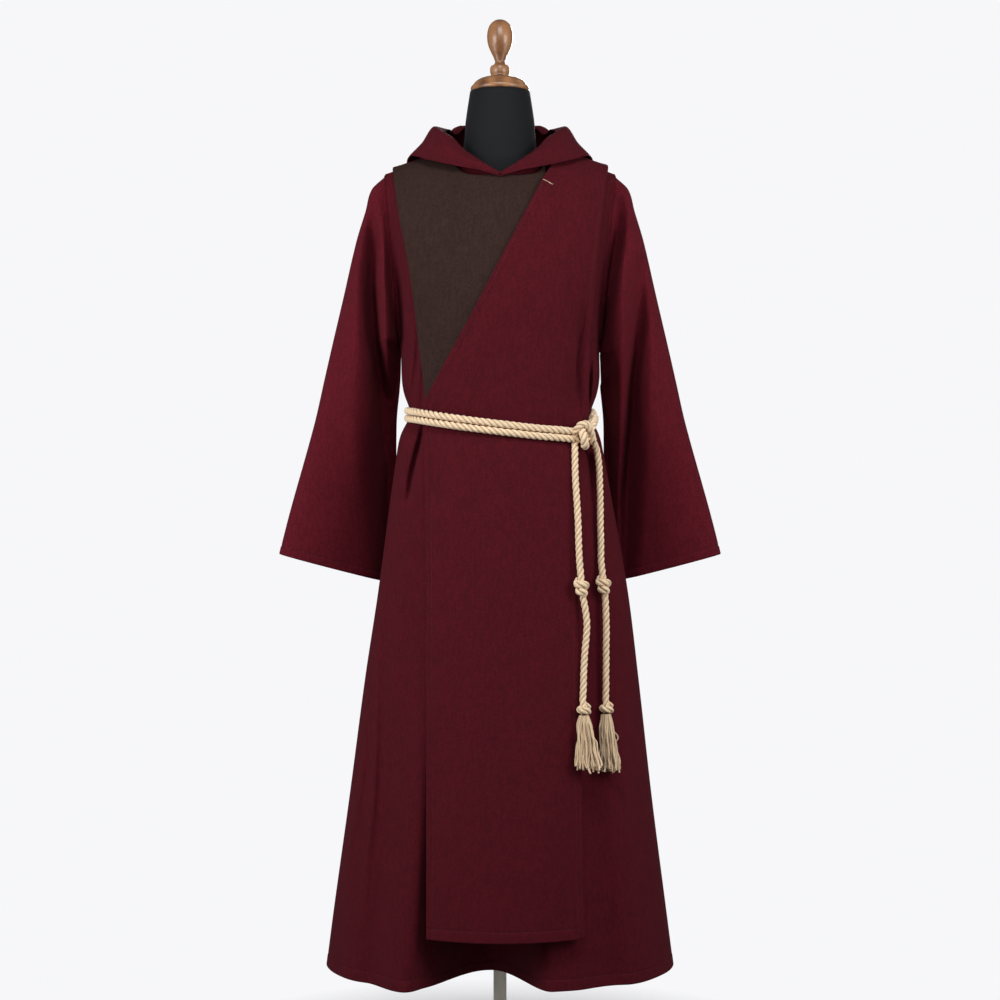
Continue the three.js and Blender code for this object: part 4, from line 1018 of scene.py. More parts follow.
def thread(name, dark, light):
    """Twisted sewing thread with a dull sheen."""
    m = Shader(name)
    twist = m.noise(m.object_place(), 2400, 2, 0.6)
    colour = m.blend(m.ramp(twist, 0.3, 0.7), dark, light)
    return m.finish(colour, m.ramp(twist, 0.3, 0.7, 0.55, 0.75), m.bump(twist, 0.0001, 0.5),
                    Specular_IOR_Level=0.3)


def stitch_tree():
    """Short stitches, one after another, each drawn in at both ends where it goes through the cloth."""
    g = Tree("stitch row", {"Material": "NodeSocketMaterial"})
    end = STITCH_LENGTH / 2
    line = g.node("GeometryNodeCurvePrimitiveLine", {"mode": "POINTS"}, Start=(0, 0, -end), End=(0, 0, end))
    line = g.node("GeometryNodeResampleCurve", Curve=line, Count=STITCH_POINTS)
    share = g.node("GeometryNodeSplineParameter").outputs["Factor"]
    bow = g.math("MULTIPLY", g.math("MULTIPLY", share, g.math("SUBTRACT", 1.0, share)), 4.0)
    thick = g.math("ADD", g.math("MULTIPLY", bow, 1 - STITCH_END), STITCH_END)
    line = g.node("GeometryNodeSetCurveRadius", Curve=line, Radius=thick)
    stitch = g.swept(line, g.ring(STITCH_SIDES, STITCH_RADIUS))
    spots = g.node("GeometryNodeCurveToPoints", {"mode": "LENGTH"}, Curve=g.entry.outputs["Geometry"],
                   Length=STITCH_PITCH)
    return g.give(g.node("GeometryNodeInstanceOnPoints", Points=spots.outputs["Points"], Instance=stitch,
                         Rotation=spots.outputs["Rotation"]))


stitch_row = stitch_tree()
maroon_thread = thread("maroon thread", (0.030, 0.0020, 0.0042, 1), (0.080, 0.0065, 0.0130, 1))


def sewn(name, lines):
    """Topstitching along lines of points on the cloth."""
    start = curve_object(name + "_line", lines)
    made = grown(name, start, stitch_row, {"Material": maroon_thread}, maroon_thread)
    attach(made, "root")
    return made


def robe_panel(side):
    """The panel's grid, and the direction of its wall along the seams."""
    neck = float(unspread(NECK_X / SHOULDER_X))
    within = np.linspace(0, 1, NECK_COLUMNS)
    foot = np.concatenate([neck * within, np.linspace(neck, 1, SHOULDER_COLUMNS)[1:]])
    top = np.concatenate([unspread(NECK_X / SHOULDER_X * np.sin(within * np.pi / 2)), foot[NECK_COLUMNS:]])
    foot = np.concatenate([-foot[:0:-1], foot])
    top = np.concatenate([-top[:0:-1], top])
    if side == "back":
        foot, top = foot[::-1], top[::-1]
    heights = rows_from(HEM_Z, UNDERARM_Z, ROBE_CELL)
    skirt = robe_skirt(side, foot[None], heights[:, None])
    shares = (1 - np.cos(np.pi * np.arange(1, ARMHOLE_STEPS + 1) / ARMHOLE_STEPS)) / 2
    upper = robe_upper(side, foot[None], top[None], shares[:, None])
    grid = np.concatenate([skirt, upper])
    lean = np.full(grid.shape, np.nan)
    for j in (0, -1):
        x, _, z = grid[:, j].T
        lean[:, j] = np.stack([np.sign(x), np.zeros_like(x), np.zeros_like(x)], -1)
        degrees = armhole_at(side, z)[2]
        along = degrees >= ARMHOLE_LEAN_FROM
        lean[along, j] = armhole_lean(side, np.sign(x), degrees)[along]
    x = grid[-1, :, 0]
    seam = np.abs(x) >= NECK_X - NECK_SLACK
    lean[-1, seam] = ridge_normal(x)[seam]
    relief = np.zeros(grid.shape[:2])
    relief[: len(heights)] = hem_relief(heights - HEM_Z)[:, None]
    return grid, lean, relief


HEM_ROW = 6  # the row of a panel's grid where its hem is stitched

for side in ("front", "back"):
    grid, lean, relief = robe_panel(side)
    panel, grid = cloth_wall(f"robe_{side}_wool", grid, WOOL, maroon, lean=lean, relief=relief,
                             soft=("foot",))
    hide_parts(f"robe_{side}")
    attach(panel, "root")
    hem = sewn(f"robe_{side}_hem_stitches", [grid[HEM_ROW]])


# ---------- Sleeves ----------
# Each sleeve is one piece of the same wool, seamed underneath; its colour is painted lighter, as painted
# light. It is set into the armhole, widens all the way down and hangs open over the hand, with a turned and
# stitched hem.

LAST_RING = 9
SLEEVE_STEPS = 15  # rows between two rings of the table
# Further rows near the cuff's fold and near its stitching, in rings up from the foot.
CUFF_FOLD_ROWS = np.array([0, 0.012, 0.035, 0.08]) * LAST_RING / 5.4
CUFF_STITCH_RING = 0.1177
CUFF_STITCH_ROWS = np.array([-0.03, -0.0125, 0, 0.0125, 0.03])
DEEPEST_FRONT = -0.35  # the furthest in that a fold takes each face, against its bulge
DEEPEST_BACK = 0.45
SLEEVE_COLUMNS = 160
CUFF_TURN = 0.014
# A sleeve's folds on its two faces: the (distance from the middle, height) points that each runs
# through, its half width, and its depth (less than 0 for a ridge).
SLEEVE_CREASES = {
    "right": {
        "front": [
            ([(0.213, 1.400), (0.2085, 1.335), (0.2110, 1.259), (0.2070, 1.170), (0.2010, 1.104),
              (0.1960, 1.038), (0.1930, 0.970)], 0.0125, 0.0620),
            ([(0.176, 1.170), (0.174, 1.060), (0.173, 0.949), (0.173, 0.860),
              (0.173, 0.700)], 0.0250, 0.0900),
            ([(0.190, 1.380), (0.186, 1.304), (0.1855, 1.230), (0.185, 1.149),
              (0.184, 1.070)], 0.0065, -0.0110),
            ([(0.181, 1.400), (0.172, 1.320), (0.1670, 1.250), (0.165, 1.180),
              (0.164, 1.110)], 0.0090, 0.0500),
            ([(0.238, 1.330), (0.241, 1.200), (0.238, 1.050), (0.235, 0.900)], 0.0140, -0.0050),
            ([(0.262, 1.150), (0.285, 1.000), (0.300, 0.850)], 0.0280, 0.0030),
        ],
        "back": [
            ([(0.222, 1.380), (0.224, 1.280), (0.222, 1.150), (0.214, 0.980),
              (0.208, 0.760)], 0.0130, 0.0220),
            ([(0.250, 1.300), (0.256, 1.150), (0.264, 0.980), (0.270, 0.780)], 0.0180, -0.0070),
            ([(0.190, 1.340), (0.188, 1.240), (0.186, 1.100)], 0.0090, 0.0120),
        ],
    },
    "left": {
        "front": [
            ([(0.192, 1.410), (0.1850, 1.325), (0.1780, 1.290), (0.1715, 1.251), (0.168, 1.190),
              (0.167, 1.120)], 0.0115, 0.0600),
            ([(0.200, 1.360), (0.1985, 1.290), (0.198, 1.220), (0.1975, 1.150), (0.196, 1.080),
              (0.193, 1.000)], 0.0090, -0.0090),
            ([(0.230, 1.310), (0.2285, 1.240), (0.2275, 1.180), (0.223, 1.110), (0.2210, 1.030),
              (0.2145, 0.927), (0.212, 0.835), (0.210, 0.740)], 0.0130, 0.0520),
            ([(0.174, 1.150), (0.175, 1.020), (0.178, 0.927), (0.180, 0.835),
              (0.180, 0.700)], 0.0140, 0.0620),
            ([(0.1980, 1.060), (0.1980, 0.960), (0.1970, 0.860), (0.197, 0.760)], 0.0070, -0.0050),
            ([(0.262, 1.200), (0.278, 1.050), (0.288, 0.880)], 0.0240, 0.0030),
        ],
        "back": [
            ([(0.215, 1.370), (0.218, 1.260), (0.216, 1.120), (0.210, 0.960),
              (0.206, 0.760)], 0.0120, 0.0240),
            ([(0.246, 1.280), (0.252, 1.120), (0.262, 0.960), (0.270, 0.780)], 0.0200, -0.0070),
            ([(0.282, 1.080), (0.300, 0.940), (0.310, 0.780)], 0.0200, 0.0050),
        ],
    },
}
# The sleeves' wool is the robe's maroon wool painted about a third lighter: painted light, so that the
# sleeves stand brighter than the skirt.
maroon_wool_painted_lighter = wool("maroon wool, painted lighter for sleeves", (0.049, 0.0026, 0.0058, 1), (0.097, 0.0057, 0.0124, 1),
                     (0.142, 0.0115, 0.0223, 1), 0.04)
SLEEVE_FADE_RINGS = 1.2  # the folds reach their full depth this many rings below the armhole's seam


def sleeve_grid(side):
    rings = np.unique(np.concatenate([
        np.linspace(0, LAST_RING, LAST_RING * SLEEVE_STEPS + 1), LAST_RING - CUFF_FOLD_ROWS,
        LAST_RING - CUFF_STITCH_RING + CUFF_STITCH_ROWS,
    ]))
    row = {name: read(SLEEVE, name, rings, "ring")[:, None] for name in SLEEVE if name != "ring"}
    degrees = 360 * np.arange(SLEEVE_COLUMNS) / SLEEVE_COLUMNS
    angle = np.radians(degrees)
    swing = (1 - np.cos(angle)) / 2
    z = mix(row["inner"], row["outer"], swing)
    x = mix(read(SLEEVE_EDGES, "inner", row["inner"]), read(SLEEVE_EDGES, "outer", row["outer"]), swing)
    sine = np.sin(angle)
    bulge = np.where(sine > 0, row["front"], row["back"]) * np.abs(sine) ** OVAL_POWER
    edge = np.sqrt(np.abs(sine))
    inwards = np.where(sine > 0, creased(x, z, SLEEVE_CREASES[side]["front"]),
                       creased(x, z, SLEEVE_CREASES[side]["back"]))
    inwards *= edge * np.clip(rings / SLEEVE_FADE_RINGS, 0, 1)[:, None]
    deep = np.maximum(bulge - inwards, np.where(sine > 0, DEEPEST_FRONT, DEEPEST_BACK) * bulge)
    y = mix(row["inner_back"], row["outer_back"], swing) - np.sign(sine) * deep
    return np.stack([x, y, z], -1), degrees


for side, sideways in (("right", -1), ("left", 1)):
    grid, degrees = sleeve_grid(side)
    grid = grid * (sideways, 1, 1)
    lean = np.full(grid.shape, np.nan)
    for half, wanted in (("front", degrees <= 180), ("back", degrees > 180)):
        along = np.where(degrees <= 180, degrees, 360 - degrees)
        wanted = wanted & (along >= ARMHOLE_LEAN_FROM)
        lean[0, wanted] = armhole_lean(half, np.full(along.shape, sideways), along)[wanted]
    far = np.linalg.norm(np.diff(grid[::-1], axis=0), axis=-1).cumsum(axis=0)
    far = np.concatenate([np.zeros((1, grid.shape[1])), far])[::-1]
    relief = hem_relief(far, CUFF_TURN)
    if side == "left":
        grid, lean, relief = grid[:, ::-1], lean[:, ::-1], relief[:, ::-1]
    # The grid runs down from the armhole, so it is turned over to climb from the cuff.
    grid, lean, relief = grid[::-1, ::-1], lean[::-1, ::-1], relief[::-1, ::-1]
    piece, grid = cloth_wall(f"sleeve_{side}_wool", grid, WOOL, maroon_wool_painted_lighter, closed=True, lean=lean,
                             relief=relief, soft=("foot",))
    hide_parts(f"sleeve_{side}")
    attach(piece, "root")
    ring = grid[int(np.argmin(relief.mean(axis=1)))]
    cuff = sewn(f"sleeve_{side}_cuff_stitches", [np.concatenate([ring, ring[:1]])])


# ---------- Scapular ----------
# The scapular hangs from the shoulders over the robe: a brown under-front across the chest, a maroon
# over-front that crosses it on the slant and hangs to near the hem, and a maroon back.

SCAPULAR_WOOL = 0.002
FRONT_EDGES = table(
    "z left right",
    (0.226, -0.1110, 0.1265),
    (0.520, -0.1122, 0.123),
    (0.860, -0.1140, 0.119),
    (0.985, -0.1162, 0.120),
    (1.030, -0.1180, 0.129),
    (1.049, -0.1182, 0.136),
    (1.066, -0.116, 0.136),
    (1.125, -0.0855, 0.1345),
    (1.229, -0.031, 0.144),
    (1.291, 0.001, 0.149),
    (1.361, 0.037, 0.158),
    (1.421, 0.068, 0.168),
    (1.455, 0.084, 0.175),
    (1.490, 0.086, 0.176),
)
YOKE_EDGES = table(
    "z left right",
    (1.062, -0.117, -0.088),
    (1.084, -0.1185, -0.078),
    (1.144, -0.126, -0.047),
    (1.216, -0.134, -0.009),
    (1.293, -0.1455, 0.031),
    (1.361, -0.159, 0.054),
    (1.421, -0.169, 0.071),
    (1.458, -0.176, 0.071),
    (1.490, -0.177, 0.071),
)
BACK_EDGES = table(
    "z left right",
    (0.226, -0.122, 0.122),
    (0.860, -0.120, 0.120),
    (1.040, -0.123, 0.123),
    (1.220, -0.138, 0.138),
    (1.361, -0.159, 0.159),
    (1.455, -0.175, 0.175),
    (1.490, -0.177, 0.177),
)
SCAPULAR_NECK_X = 0.084
SCAPULAR_NECK_Z = {"yoke": 1.4275, "back": 1.460}
NECK_RISE_POWER = 6
YOKE_LIFT = 0.0052
PANEL_LIFT = 0.0102
BACK_LIFT = 0.0064
BACK_CLIMB = (0.040, 0.110)
SWING_HEAD_Z = 0.960
SWING = {"front": (0.007, 0.026), "back": (0.028, 0.030), "yoke": (0, 0)}
SCAPULAR_CELL = 0.0056
SIDE_TURN = 0.009  # from a side edge to its stitching
SIDE_SLOPE = 0.0016
SIDE_STITCH_SHARE = 0.7  # how deep the side stitches sink, against a hem's
SIDE_COLUMN = 4  # the column of a panel's grid where its side is stitched
SHOULDER_ROWS = 42
SHOULDER_PASSES = 8
SEAM_REACH = 0.0005
FAINT_SWELL = 0.0001  # where the hem stands out by less than this, the side's own turned edge shows
PANEL_CREASES = {
    "front": [
        ([(-0.060, 1.090), (-0.030, 1.150), (0.020, 1.230), (0.060, 1.300)], 0.0220, -0.0014),
        ([(0.106, 1.030), (0.110, 1.080), (0.113, 1.140)], 0.0060, 0.0060),
        ([(0.1275, 1.036), (0.130, 1.085), (0.1325, 1.150)], 0.0040, -0.0060),
        ([(0.119, 1.034), (0.1225, 1.080), (0.126, 1.150), (0.130, 1.230)], 0.0048, 0.0140),
        ([(-0.104, 1.018), (-0.104, 0.960), (-0.100, 0.880)], 0.0070, 0.0040),
        ([(0.060, 1.000), (0.064, 0.900), (0.062, 0.780)], 0.0200, 0.0020),
        ([(0.010, 0.760), (0.020, 0.560), (0.018, 0.340)], 0.0300, 0.0030),
        ([(-0.060, 0.640), (-0.056, 0.460), (-0.062, 0.260)], 0.0260, -0.0022),
        ([(0.085, 0.560), (0.090, 0.400), (0.094, 0.240)], 0.0200, -0.0018),
    ],
    "yoke": [
        ([(-0.120, 1.430), (-0.110, 1.340), (-0.104, 1.240)], 0.0160, -0.0010),
        ([(-0.050, 1.400), (-0.060, 1.300), (-0.080, 1.180)], 0.0240, 0.0012),
    ],
    "back": [
        ([(-0.060, 1.000), (-0.064, 0.880), (-0.060, 0.700)], 0.0160, 0.0024),
        ([(0.052, 1.010), (0.058, 0.860), (0.060, 0.640)], 0.0200, 0.0028),
        ([(0.000, 0.760), (0.006, 0.560), (-0.004, 0.320)], 0.0280, 0.0036),
        ([(-0.090, 0.520), (-0.092, 0.380), (-0.098, 0.240)], 0.0160, -0.0024),
        ([(0.096, 0.560), (0.094, 0.400), (0.100, 0.240)], 0.0180, -0.0022),
        ([(-0.040, 1.090), (-0.030, 1.180), (-0.050, 1.280)], 0.0200, -0.0018),
        ([(0.070, 1.080), (0.074, 1.140), (0.086, 1.220)], 0.0120, 0.0020),
    ],
}


def over_robe(side, x, z, lift):
    """Points over the robe without its folds, standing off it by `lift`."""
    reach = 0.0015
    slope_x = (depth_at(side, x + reach, z, False) - depth_at(side, x - reach, z, False)) / (2 * reach)
    slope_z = (depth_at(side, x, z + reach, False) - depth_at(side, x, z - reach, False)) / (2 * reach)
    sign = outwards(side)
    normal = unit(np.stack([-slope_x, np.full(x.shape, float(sign)), -slope_z], -1))
    base = np.stack([x, sign * depth_at(side, x, z, False), z], -1)
    return base + normal * np.broadcast_to(lift, x.shape)[..., None]


def necked_top(low):
    def top(x):
        across = np.clip(np.abs(x) / SCAPULAR_NECK_X, 0, 1)
        dip = mix(low, ridge_z(SCAPULAR_NECK_X), across**NECK_RISE_POWER)
        return np.where(across < 1, dip, ridge_z(x))
    return top


def scapular_panel(name, side, edges, places, lift, top_z):
    """A panel's grid and its wall's direction on the shoulder seam, laid over the robe."""
    foot = edges["z"][0]
    edge, middle = SWING[name]
    heights = rows_from(foot, UNDERARM_Z, SCAPULAR_CELL)

    def across(z):
        return mix(read(edges, "left", z), read(edges, "right", z), places)

    z = np.broadcast_to(heights[:, None], (len(heights), len(places)))
    x = across(z)
    off = lift(x) - creased(x, z, PANEL_CREASES[name])
    lower = over_robe(side, x, z, off)
    drop = np.clip((SWING_HEAD_Z - z) / (SWING_HEAD_Z - foot), 0, 1)
    lower[..., 1] += outwards(side) * drop * mix(edge, middle, 1 - np.square(2 * places - 1))
    shares = (1 - np.cos(np.pi * np.arange(1, SHOULDER_ROWS + 1) / SHOULDER_ROWS)) / 2
    x = np.broadcast_to(across(np.full(len(places), UNDERARM_Z)), (len(shares), len(places)))
    for _ in range(SHOULDER_PASSES):
        z = mix(UNDERARM_Z, top_z(x), shares[:, None])
        x = across(z)
    off = lift(x) - creased(x, z, PANEL_CREASES[name])
    upper = over_robe(side, x, z, off)
    seam = ridge_z(x) - z <= SEAM_REACH
    on_seam = np.stack([x, np.full(x.shape, outwards(side) * SEAM_GAP / 2), ridge_z(x)], -1)
    on_seam += ridge_normal(x) * np.broadcast_to(lift(x), x.shape)[..., None]
    upper = np.where(seam[..., None], on_seam, upper)
    grid = np.concatenate([lower, upper])
    lean = np.full(grid.shape, np.nan)
    top = grid[-1, :, 0]
    wanted = np.abs(top) >= SCAPULAR_NECK_X - NECK_SLACK
    lean[-1, wanted] = ridge_normal(top)[wanted]
    width = np.abs(read(edges, "right", grid[:, :1, 2]) - read(edges, "left", grid[:, :1, 2]))
    aside = np.minimum(places, 1 - places) * width
    relief = np.zeros(grid.shape[:2])
    relief[: len(heights)] = hem_relief(heights - foot, HEM_TURN)[:, None]
    near = np.clip((SIDE_TURN - aside) / SIDE_SLOPE, 0, 1)
    relief = np.maximum(relief, 0) + HEM_SWELL * near * (relief <= FAINT_SWELL) + np.minimum(relief, 0)
    relief -= STITCH_SINK * SIDE_STITCH_SHARE * np.exp(-np.square((aside - SIDE_TURN) / STITCH_DENT))
    if side == "back":
        grid, lean, relief = grid[:, ::-1], lean[:, ::-1], relief[:, ::-1]
    return grid, lean, relief


def places_across(width):
    """Shares across a panel, drawn together at the folds and the stitching of its sides."""
    near = np.array([0, 0.0012, 0.0040, *(SIDE_TURN + k for k in (-0.0013, 0, 0.0013, 0.0035))]) / width
    count = round((1 - 2 * near[-1]) * width / SCAPULAR_CELL)
    return np.concatenate([near[:-1], np.linspace(near[-1], 1 - near[-1], count + 1), 1 - near[-2::-1]])


def back_lift(x):
    t = np.clip((x - BACK_CLIMB[0]) / (BACK_CLIMB[1] - BACK_CLIMB[0]), 0, 1)
    return mix(BACK_LIFT, PANEL_LIFT, t * t * (3 - 2 * t))


brown = wool("brown wool", (0.0165, 0.0080, 0.0063, 1), (0.033, 0.0165, 0.0135, 1),
             (0.050, 0.0275, 0.0230, 1), 0.03)

TACK = [(0.0661, 1.4175), (0.0700, 1.4158), (0.0760, 1.4126), (0.0820, 1.4094)]
TACK_LIFT = 0.0004
TACK_ROPE = 0.0011


def tack_thread():
    """The pale tacking thread left in at the top of the over-front's slanting edge."""
    x, z = np.array(TACK).T
    line = over_robe("front", x, z, PANEL_LIFT + TACK_LIFT)
    made = rope_along("scapular_front_tack", [smooth_route(line, 0.002)], TACK_ROPE)
    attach(made, "root")
    return made


SCAPULAR = {
    "yoke": ("front", YOKE_EDGES, 0.22, lambda x: YOKE_LIFT, necked_top(SCAPULAR_NECK_Z["yoke"]), brown),
    "front": ("front", FRONT_EDGES, 0.245, lambda x: PANEL_LIFT, ridge_z, maroon),
    "back": ("back", BACK_EDGES, 0.30, back_lift, necked_top(SCAPULAR_NECK_Z["back"]), maroon),
}
for name, (side, edges, width, lift, top_z, material) in SCAPULAR.items():
    places = places_across(width)
    grid, lean, relief = scapular_panel(name, side, edges, places, lift, top_z)
    panel, grid = cloth_wall(f"scapular_{name}_wool", grid, SCAPULAR_WOOL, material, lean=lean, relief=relief,
                             soft=("foot", "left", "right"))
    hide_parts(f"scapular_{name}")
    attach(panel, "root")
    lines = [grid[:, SIDE_COLUMN], grid[:, -SIDE_COLUMN - 1]]
    if name != "yoke":
        lines.append(grid[HEM_ROW, SIDE_COLUMN:-SIDE_COLUMN])
    sewing = [sewn(f"scapular_{name}_stitches", lines)]
    if name == "front":
        sewing.append(tack_thread())


# ---------- Hood ----------
# The hood lies down on the shoulders. Its two halves, joined in front and behind, rise from a narrow
# band at the neck, fold over at a low outer edge and stand open behind the neck.

HOOD = [
    (0, (-0.0005, -0.107, 1.4270), (-0.0005, -0.106, 1.4335), (-0.0005, -0.100, 1.4335)),
    (24, (-0.036, -0.104, 1.4375), (-0.031, -0.097, 1.4510), (-0.024, -0.088, 1.4505)),
    (46, (-0.074, -0.089, 1.4465), (-0.067, -0.068, 1.475), (-0.058, -0.057, 1.478)),
    (66, (-0.115, -0.063, 1.4590), (-0.093, -0.034, 1.505), (-0.076, -0.028, 1.501)),
    (88, (-0.149, -0.012, 1.4725), (-0.109, 0.017, 1.527), (-0.091, 0.012, 1.517)),
    (116, (-0.156, 0.066, 1.452), (-0.104, 0.076, 1.533), (-0.084, 0.062, 1.530)),
    (125, (-0.143, 0.092, 1.430), (-0.092, 0.086, 1.5270), (-0.074, 0.070, 1.5240)),
    (137, (-0.123, 0.126, 1.400), (-0.077, 0.105, 1.5400), (-0.062, 0.085, 1.5360)),
    (148, (-0.100, 0.158, 1.368), (-0.064, 0.120, 1.5440), (-0.052, 0.096, 1.5400)),
    (180, (-0.0002, 0.192, 1.306), (-0.0002, 0.136, 1.5440), (-0.0002, 0.106, 1.5410)),
]
HOOD_ROWS = 52
HOOD_COLUMNS = 40
HOOD_RISE = 0.16
HOOD_RISE_AT = 0.45
HOOD_FLAT = 0.012  # how far the fold is drawn in between its low edge and its peak
HOOD_HEART = np.array([0, -0.02, 1.45])  # the place it is drawn towards
NECKBAND_HEIGHT = 0.004
BAND_ROWS = 4
BAND_DEPTH = 0.097
BEHIND_FROM = 0.00001  # from here back, a place on the neckline lies behind the side of the neck


def neck_half():
    """The neckline from the middle of the front round the wearer's right to the middle behind."""
    neck = unspread(NECK_X / SHOULDER_X)
    t = np.linspace(0, 1, HOOD_COLUMNS + 1)
    ring = []
    for side, shares in (("front", t), ("back", t[-2::-1])):
        top = -unspread(NECK_X / SHOULDER_X * np.sin(shares * np.pi / 2))
        part = robe_upper(side, -neck * shares, top, np.ones(shares.shape))
        if side == "front":
            part[-1] = (-NECK_X, 0, NECK_SIDE_Z)
        ring.append(part)
    return np.concatenate(ring)


half_neck = neck_half()
band_foot = np.concatenate([half_neck, half_neck[-2:0:-1] * (-1, 1, 1)]) + (0, 0, SEAM_GAP)
outward = unit(band_foot * (1 / NECK_X**2, 1 / BAND_DEPTH**2, 0))
rises = np.linspace(0, NECKBAND_HEIGHT, BAND_ROWS)
grid = (band_foot[None] + rises[:, None, None] * np.array([0, 0, 1.0]))[:, ::-1]
lean = np.broadcast_to(outward[::-1], grid.shape).copy()
band, _ = cloth_wall("hood_neckband_wool", grid, WOOL, maroon, closed=True, lean=lean)
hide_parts("hood_neckband")
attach(band, "root")

stations = {
    name: table("turn x y z", *((row[0], *row[k]) for row in HOOD))
    for k, name in enumerate(("low", "peak", "rim"), 1)
}


def hood_half():
    """Columns of the hood's right half, each a smooth section from the neck over the fold to the rim."""
    columns = []
    for k, seam in enumerate(half_neck):
        turn = math.degrees(math.asin(min(1, max(0, -seam[0] / NECK_X))))
        if seam[1] >= BEHIND_FROM:
            turn = 180 - turn
        if k == len(half_neck) - 1:
            turn = 180
        low, peak, rim = (
            np.array([float(read(stations[name], axis, turn, "turn")) for axis in "xyz"])
            for name in ("low", "peak", "rim")
        )
        start = seam + (0, 0, NECKBAND_HEIGHT + 2 * SEAM_GAP)
        start[0] = min(start[0], -SEAM_GAP)
        over = mix(start, low, HOOD_RISE_AT)
        over[2] += HOOD_RISE * np.linalg.norm(low - start)
        half_way = mix(mix(low, peak, 0.5), HOOD_HEART, HOOD_FLAT)
        columns.append(smooth_route([start, over, low, half_way, peak, rim], count=HOOD_ROWS + 1))
    return np.array(columns).transpose(1, 0, 2)


hood = hood_half()
for side in ("right", "left"):
    grid = hood * (-1, 1, 1) if side == "left" else hood[:, ::-1]
    natural = facing(grid, False)
    lean = np.full(grid.shape, np.nan)
    for j in (0, -1):
        lean[:, j] = unit(natural[:, j] * (0, 1, 1))
    piece, _ = cloth_wall(f"hood_{side}_wool", grid, WOOL, maroon, lean=lean, soft=("head",))
    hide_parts(f"hood_{side}")
    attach(piece, "root")


# ---------- Dress form ----------
# The form is a moulded torso under black jersey, with no limbs. A turned cap and finial of oiled wood
# close its neck, and a satin steel pole carries it on a low round base.

FORM = table(
    "z half front back",
    (0.852, 0.150, 0.104, 0.110),
    (0.920, 0.152, 0.106, 0.112),
    (1.000, 0.138, 0.099, 0.100),
    (1.045, 0.128, 0.095, 0.093),
    (1.100, 0.134, 0.101, 0.095),
    (1.170, 0.146, 0.111, 0.101),
    (1.250, 0.155, 0.117, 0.104),
    (1.310, 0.163, 0.112, 0.104),
    (1.360, 0.170, 0.102, 0.100),
    (1.400, 0.160, 0.088, 0.088),
    (1.430, 0.130, 0.078, 0.076),
    (1.450, 0.094, 0.070, 0.066),
    (1.468, 0.067, 0.061, 0.059),
    (1.500, 0.059, 0.0575, 0.0575),
    (1.530, 0.057, 0.056, 0.056),
    (1.581, 0.0495, 0.0495, 0.0495),
)
FORM_AROUND = 96
FORM_LEVELS = 150
FORM_ROUND = 0.004  # radius of the form's lower edge
PROFILE_STEP = 0.0007
AXIS_REACH = 0.00001  # nearer to the axis than this, a profile is closed by the solid's own pole
POLE_RADIUS = 0.0107
POLE = [
    [(0.0, 0.0123), (POLE_RADIUS, 0.0123)],
    [(POLE_RADIUS, 0.0123), (POLE_RADIUS, 0.400), (POLE_RADIUS, 0.8517)],
    [(POLE_RADIUS, 0.8517), (0.0, 0.8517)],
]
NECK_CAP = [
    [(0.0, 1.5814), (0.0440, 1.5814)],
    [(0.0440, 1.5814), (0.0468, 1.5820), (0.0481, 1.5840), (0.0484, 1.5862), (0.0479, 1.5886),
     (0.0466, 1.5904)],
    [(0.0466, 1.5904), (0.0452, 1.5910), (0.0446, 1.5922)],
    [(0.0446, 1.5922), (0.0425, 1.5952), (0.0385, 1.5990), (0.0310, 1.6028), (0.0200, 1.6054), (0.0, 1.6062)],
]
FINIAL = [
    [(0.0, 1.6065), (0.0146, 1.6065)],
    [(0.0146, 1.6065), (0.0152, 1.6080), (0.0150, 1.6100)],
    [(0.0150, 1.6100), (0.0160, 1.6122), (0.0164, 1.6162), (0.0162, 1.6204), (0.0150, 1.6234),
     (0.0126, 1.6248)],
    [(0.0126, 1.6248), (0.0098, 1.6264), (0.0085, 1.6290), (0.0082, 1.6316), (0.0092, 1.6344)],
    [(0.0092, 1.6344), (0.0112, 1.6396), (0.0154, 1.6480), (0.0196, 1.6590), (0.0213, 1.6710),
     (0.0203, 1.6820), (0.0166, 1.6918), (0.0100, 1.6980), (0.0050, 1.7000), (0.0, 1.7006)],
]
BASE = [
    [(0.0, 0.0), (0.173, 0.0)],
    [(0.173, 0.0), (0.1746, 0.0006), (0.175, 0.002)],
    [(0.175, 0.002), (0.175, 0.006)],
    [(0.175, 0.006), (0.1735, 0.0090), (0.169, 0.0105)],
    [(0.169, 0.0105), (0.155, 0.0116), (0.140, 0.0120)],
    [(0.140, 0.0120), (0.0, 0.0120)],
]


def shell_mesh(name, rings, material):
    """A closed solid through rings of points, with a pole or a flat cap at each end."""
    rings = np.asarray(rings)
    count, around = rings.shape[:2]
    ids = np.arange(count * around).reshape(count, around)
    after = np.roll(ids, -1, axis=1)
    quads = np.stack([ids[:-1], after[:-1], after[1:], ids[1:]], -1).reshape(-1, 4).tolist()
    points = np.concatenate([rings.reshape(-1, 3), rings[[0, -1]].mean(axis=1)])
    low, high = count * around, count * around + 1
    fans = [(low, int(b), int(a)) for a, b in zip(ids[0], after[0])]
    fans += [(high, int(a), int(b)) for a, b in zip(ids[-1], after[-1])]
    mesh = bpy.data.meshes.new(name)
    mesh.from_pydata(points.tolist(), [], quads + fans)
    mesh.materials.append(material)
    mesh.shade_smooth()
    return placed(name, mesh)


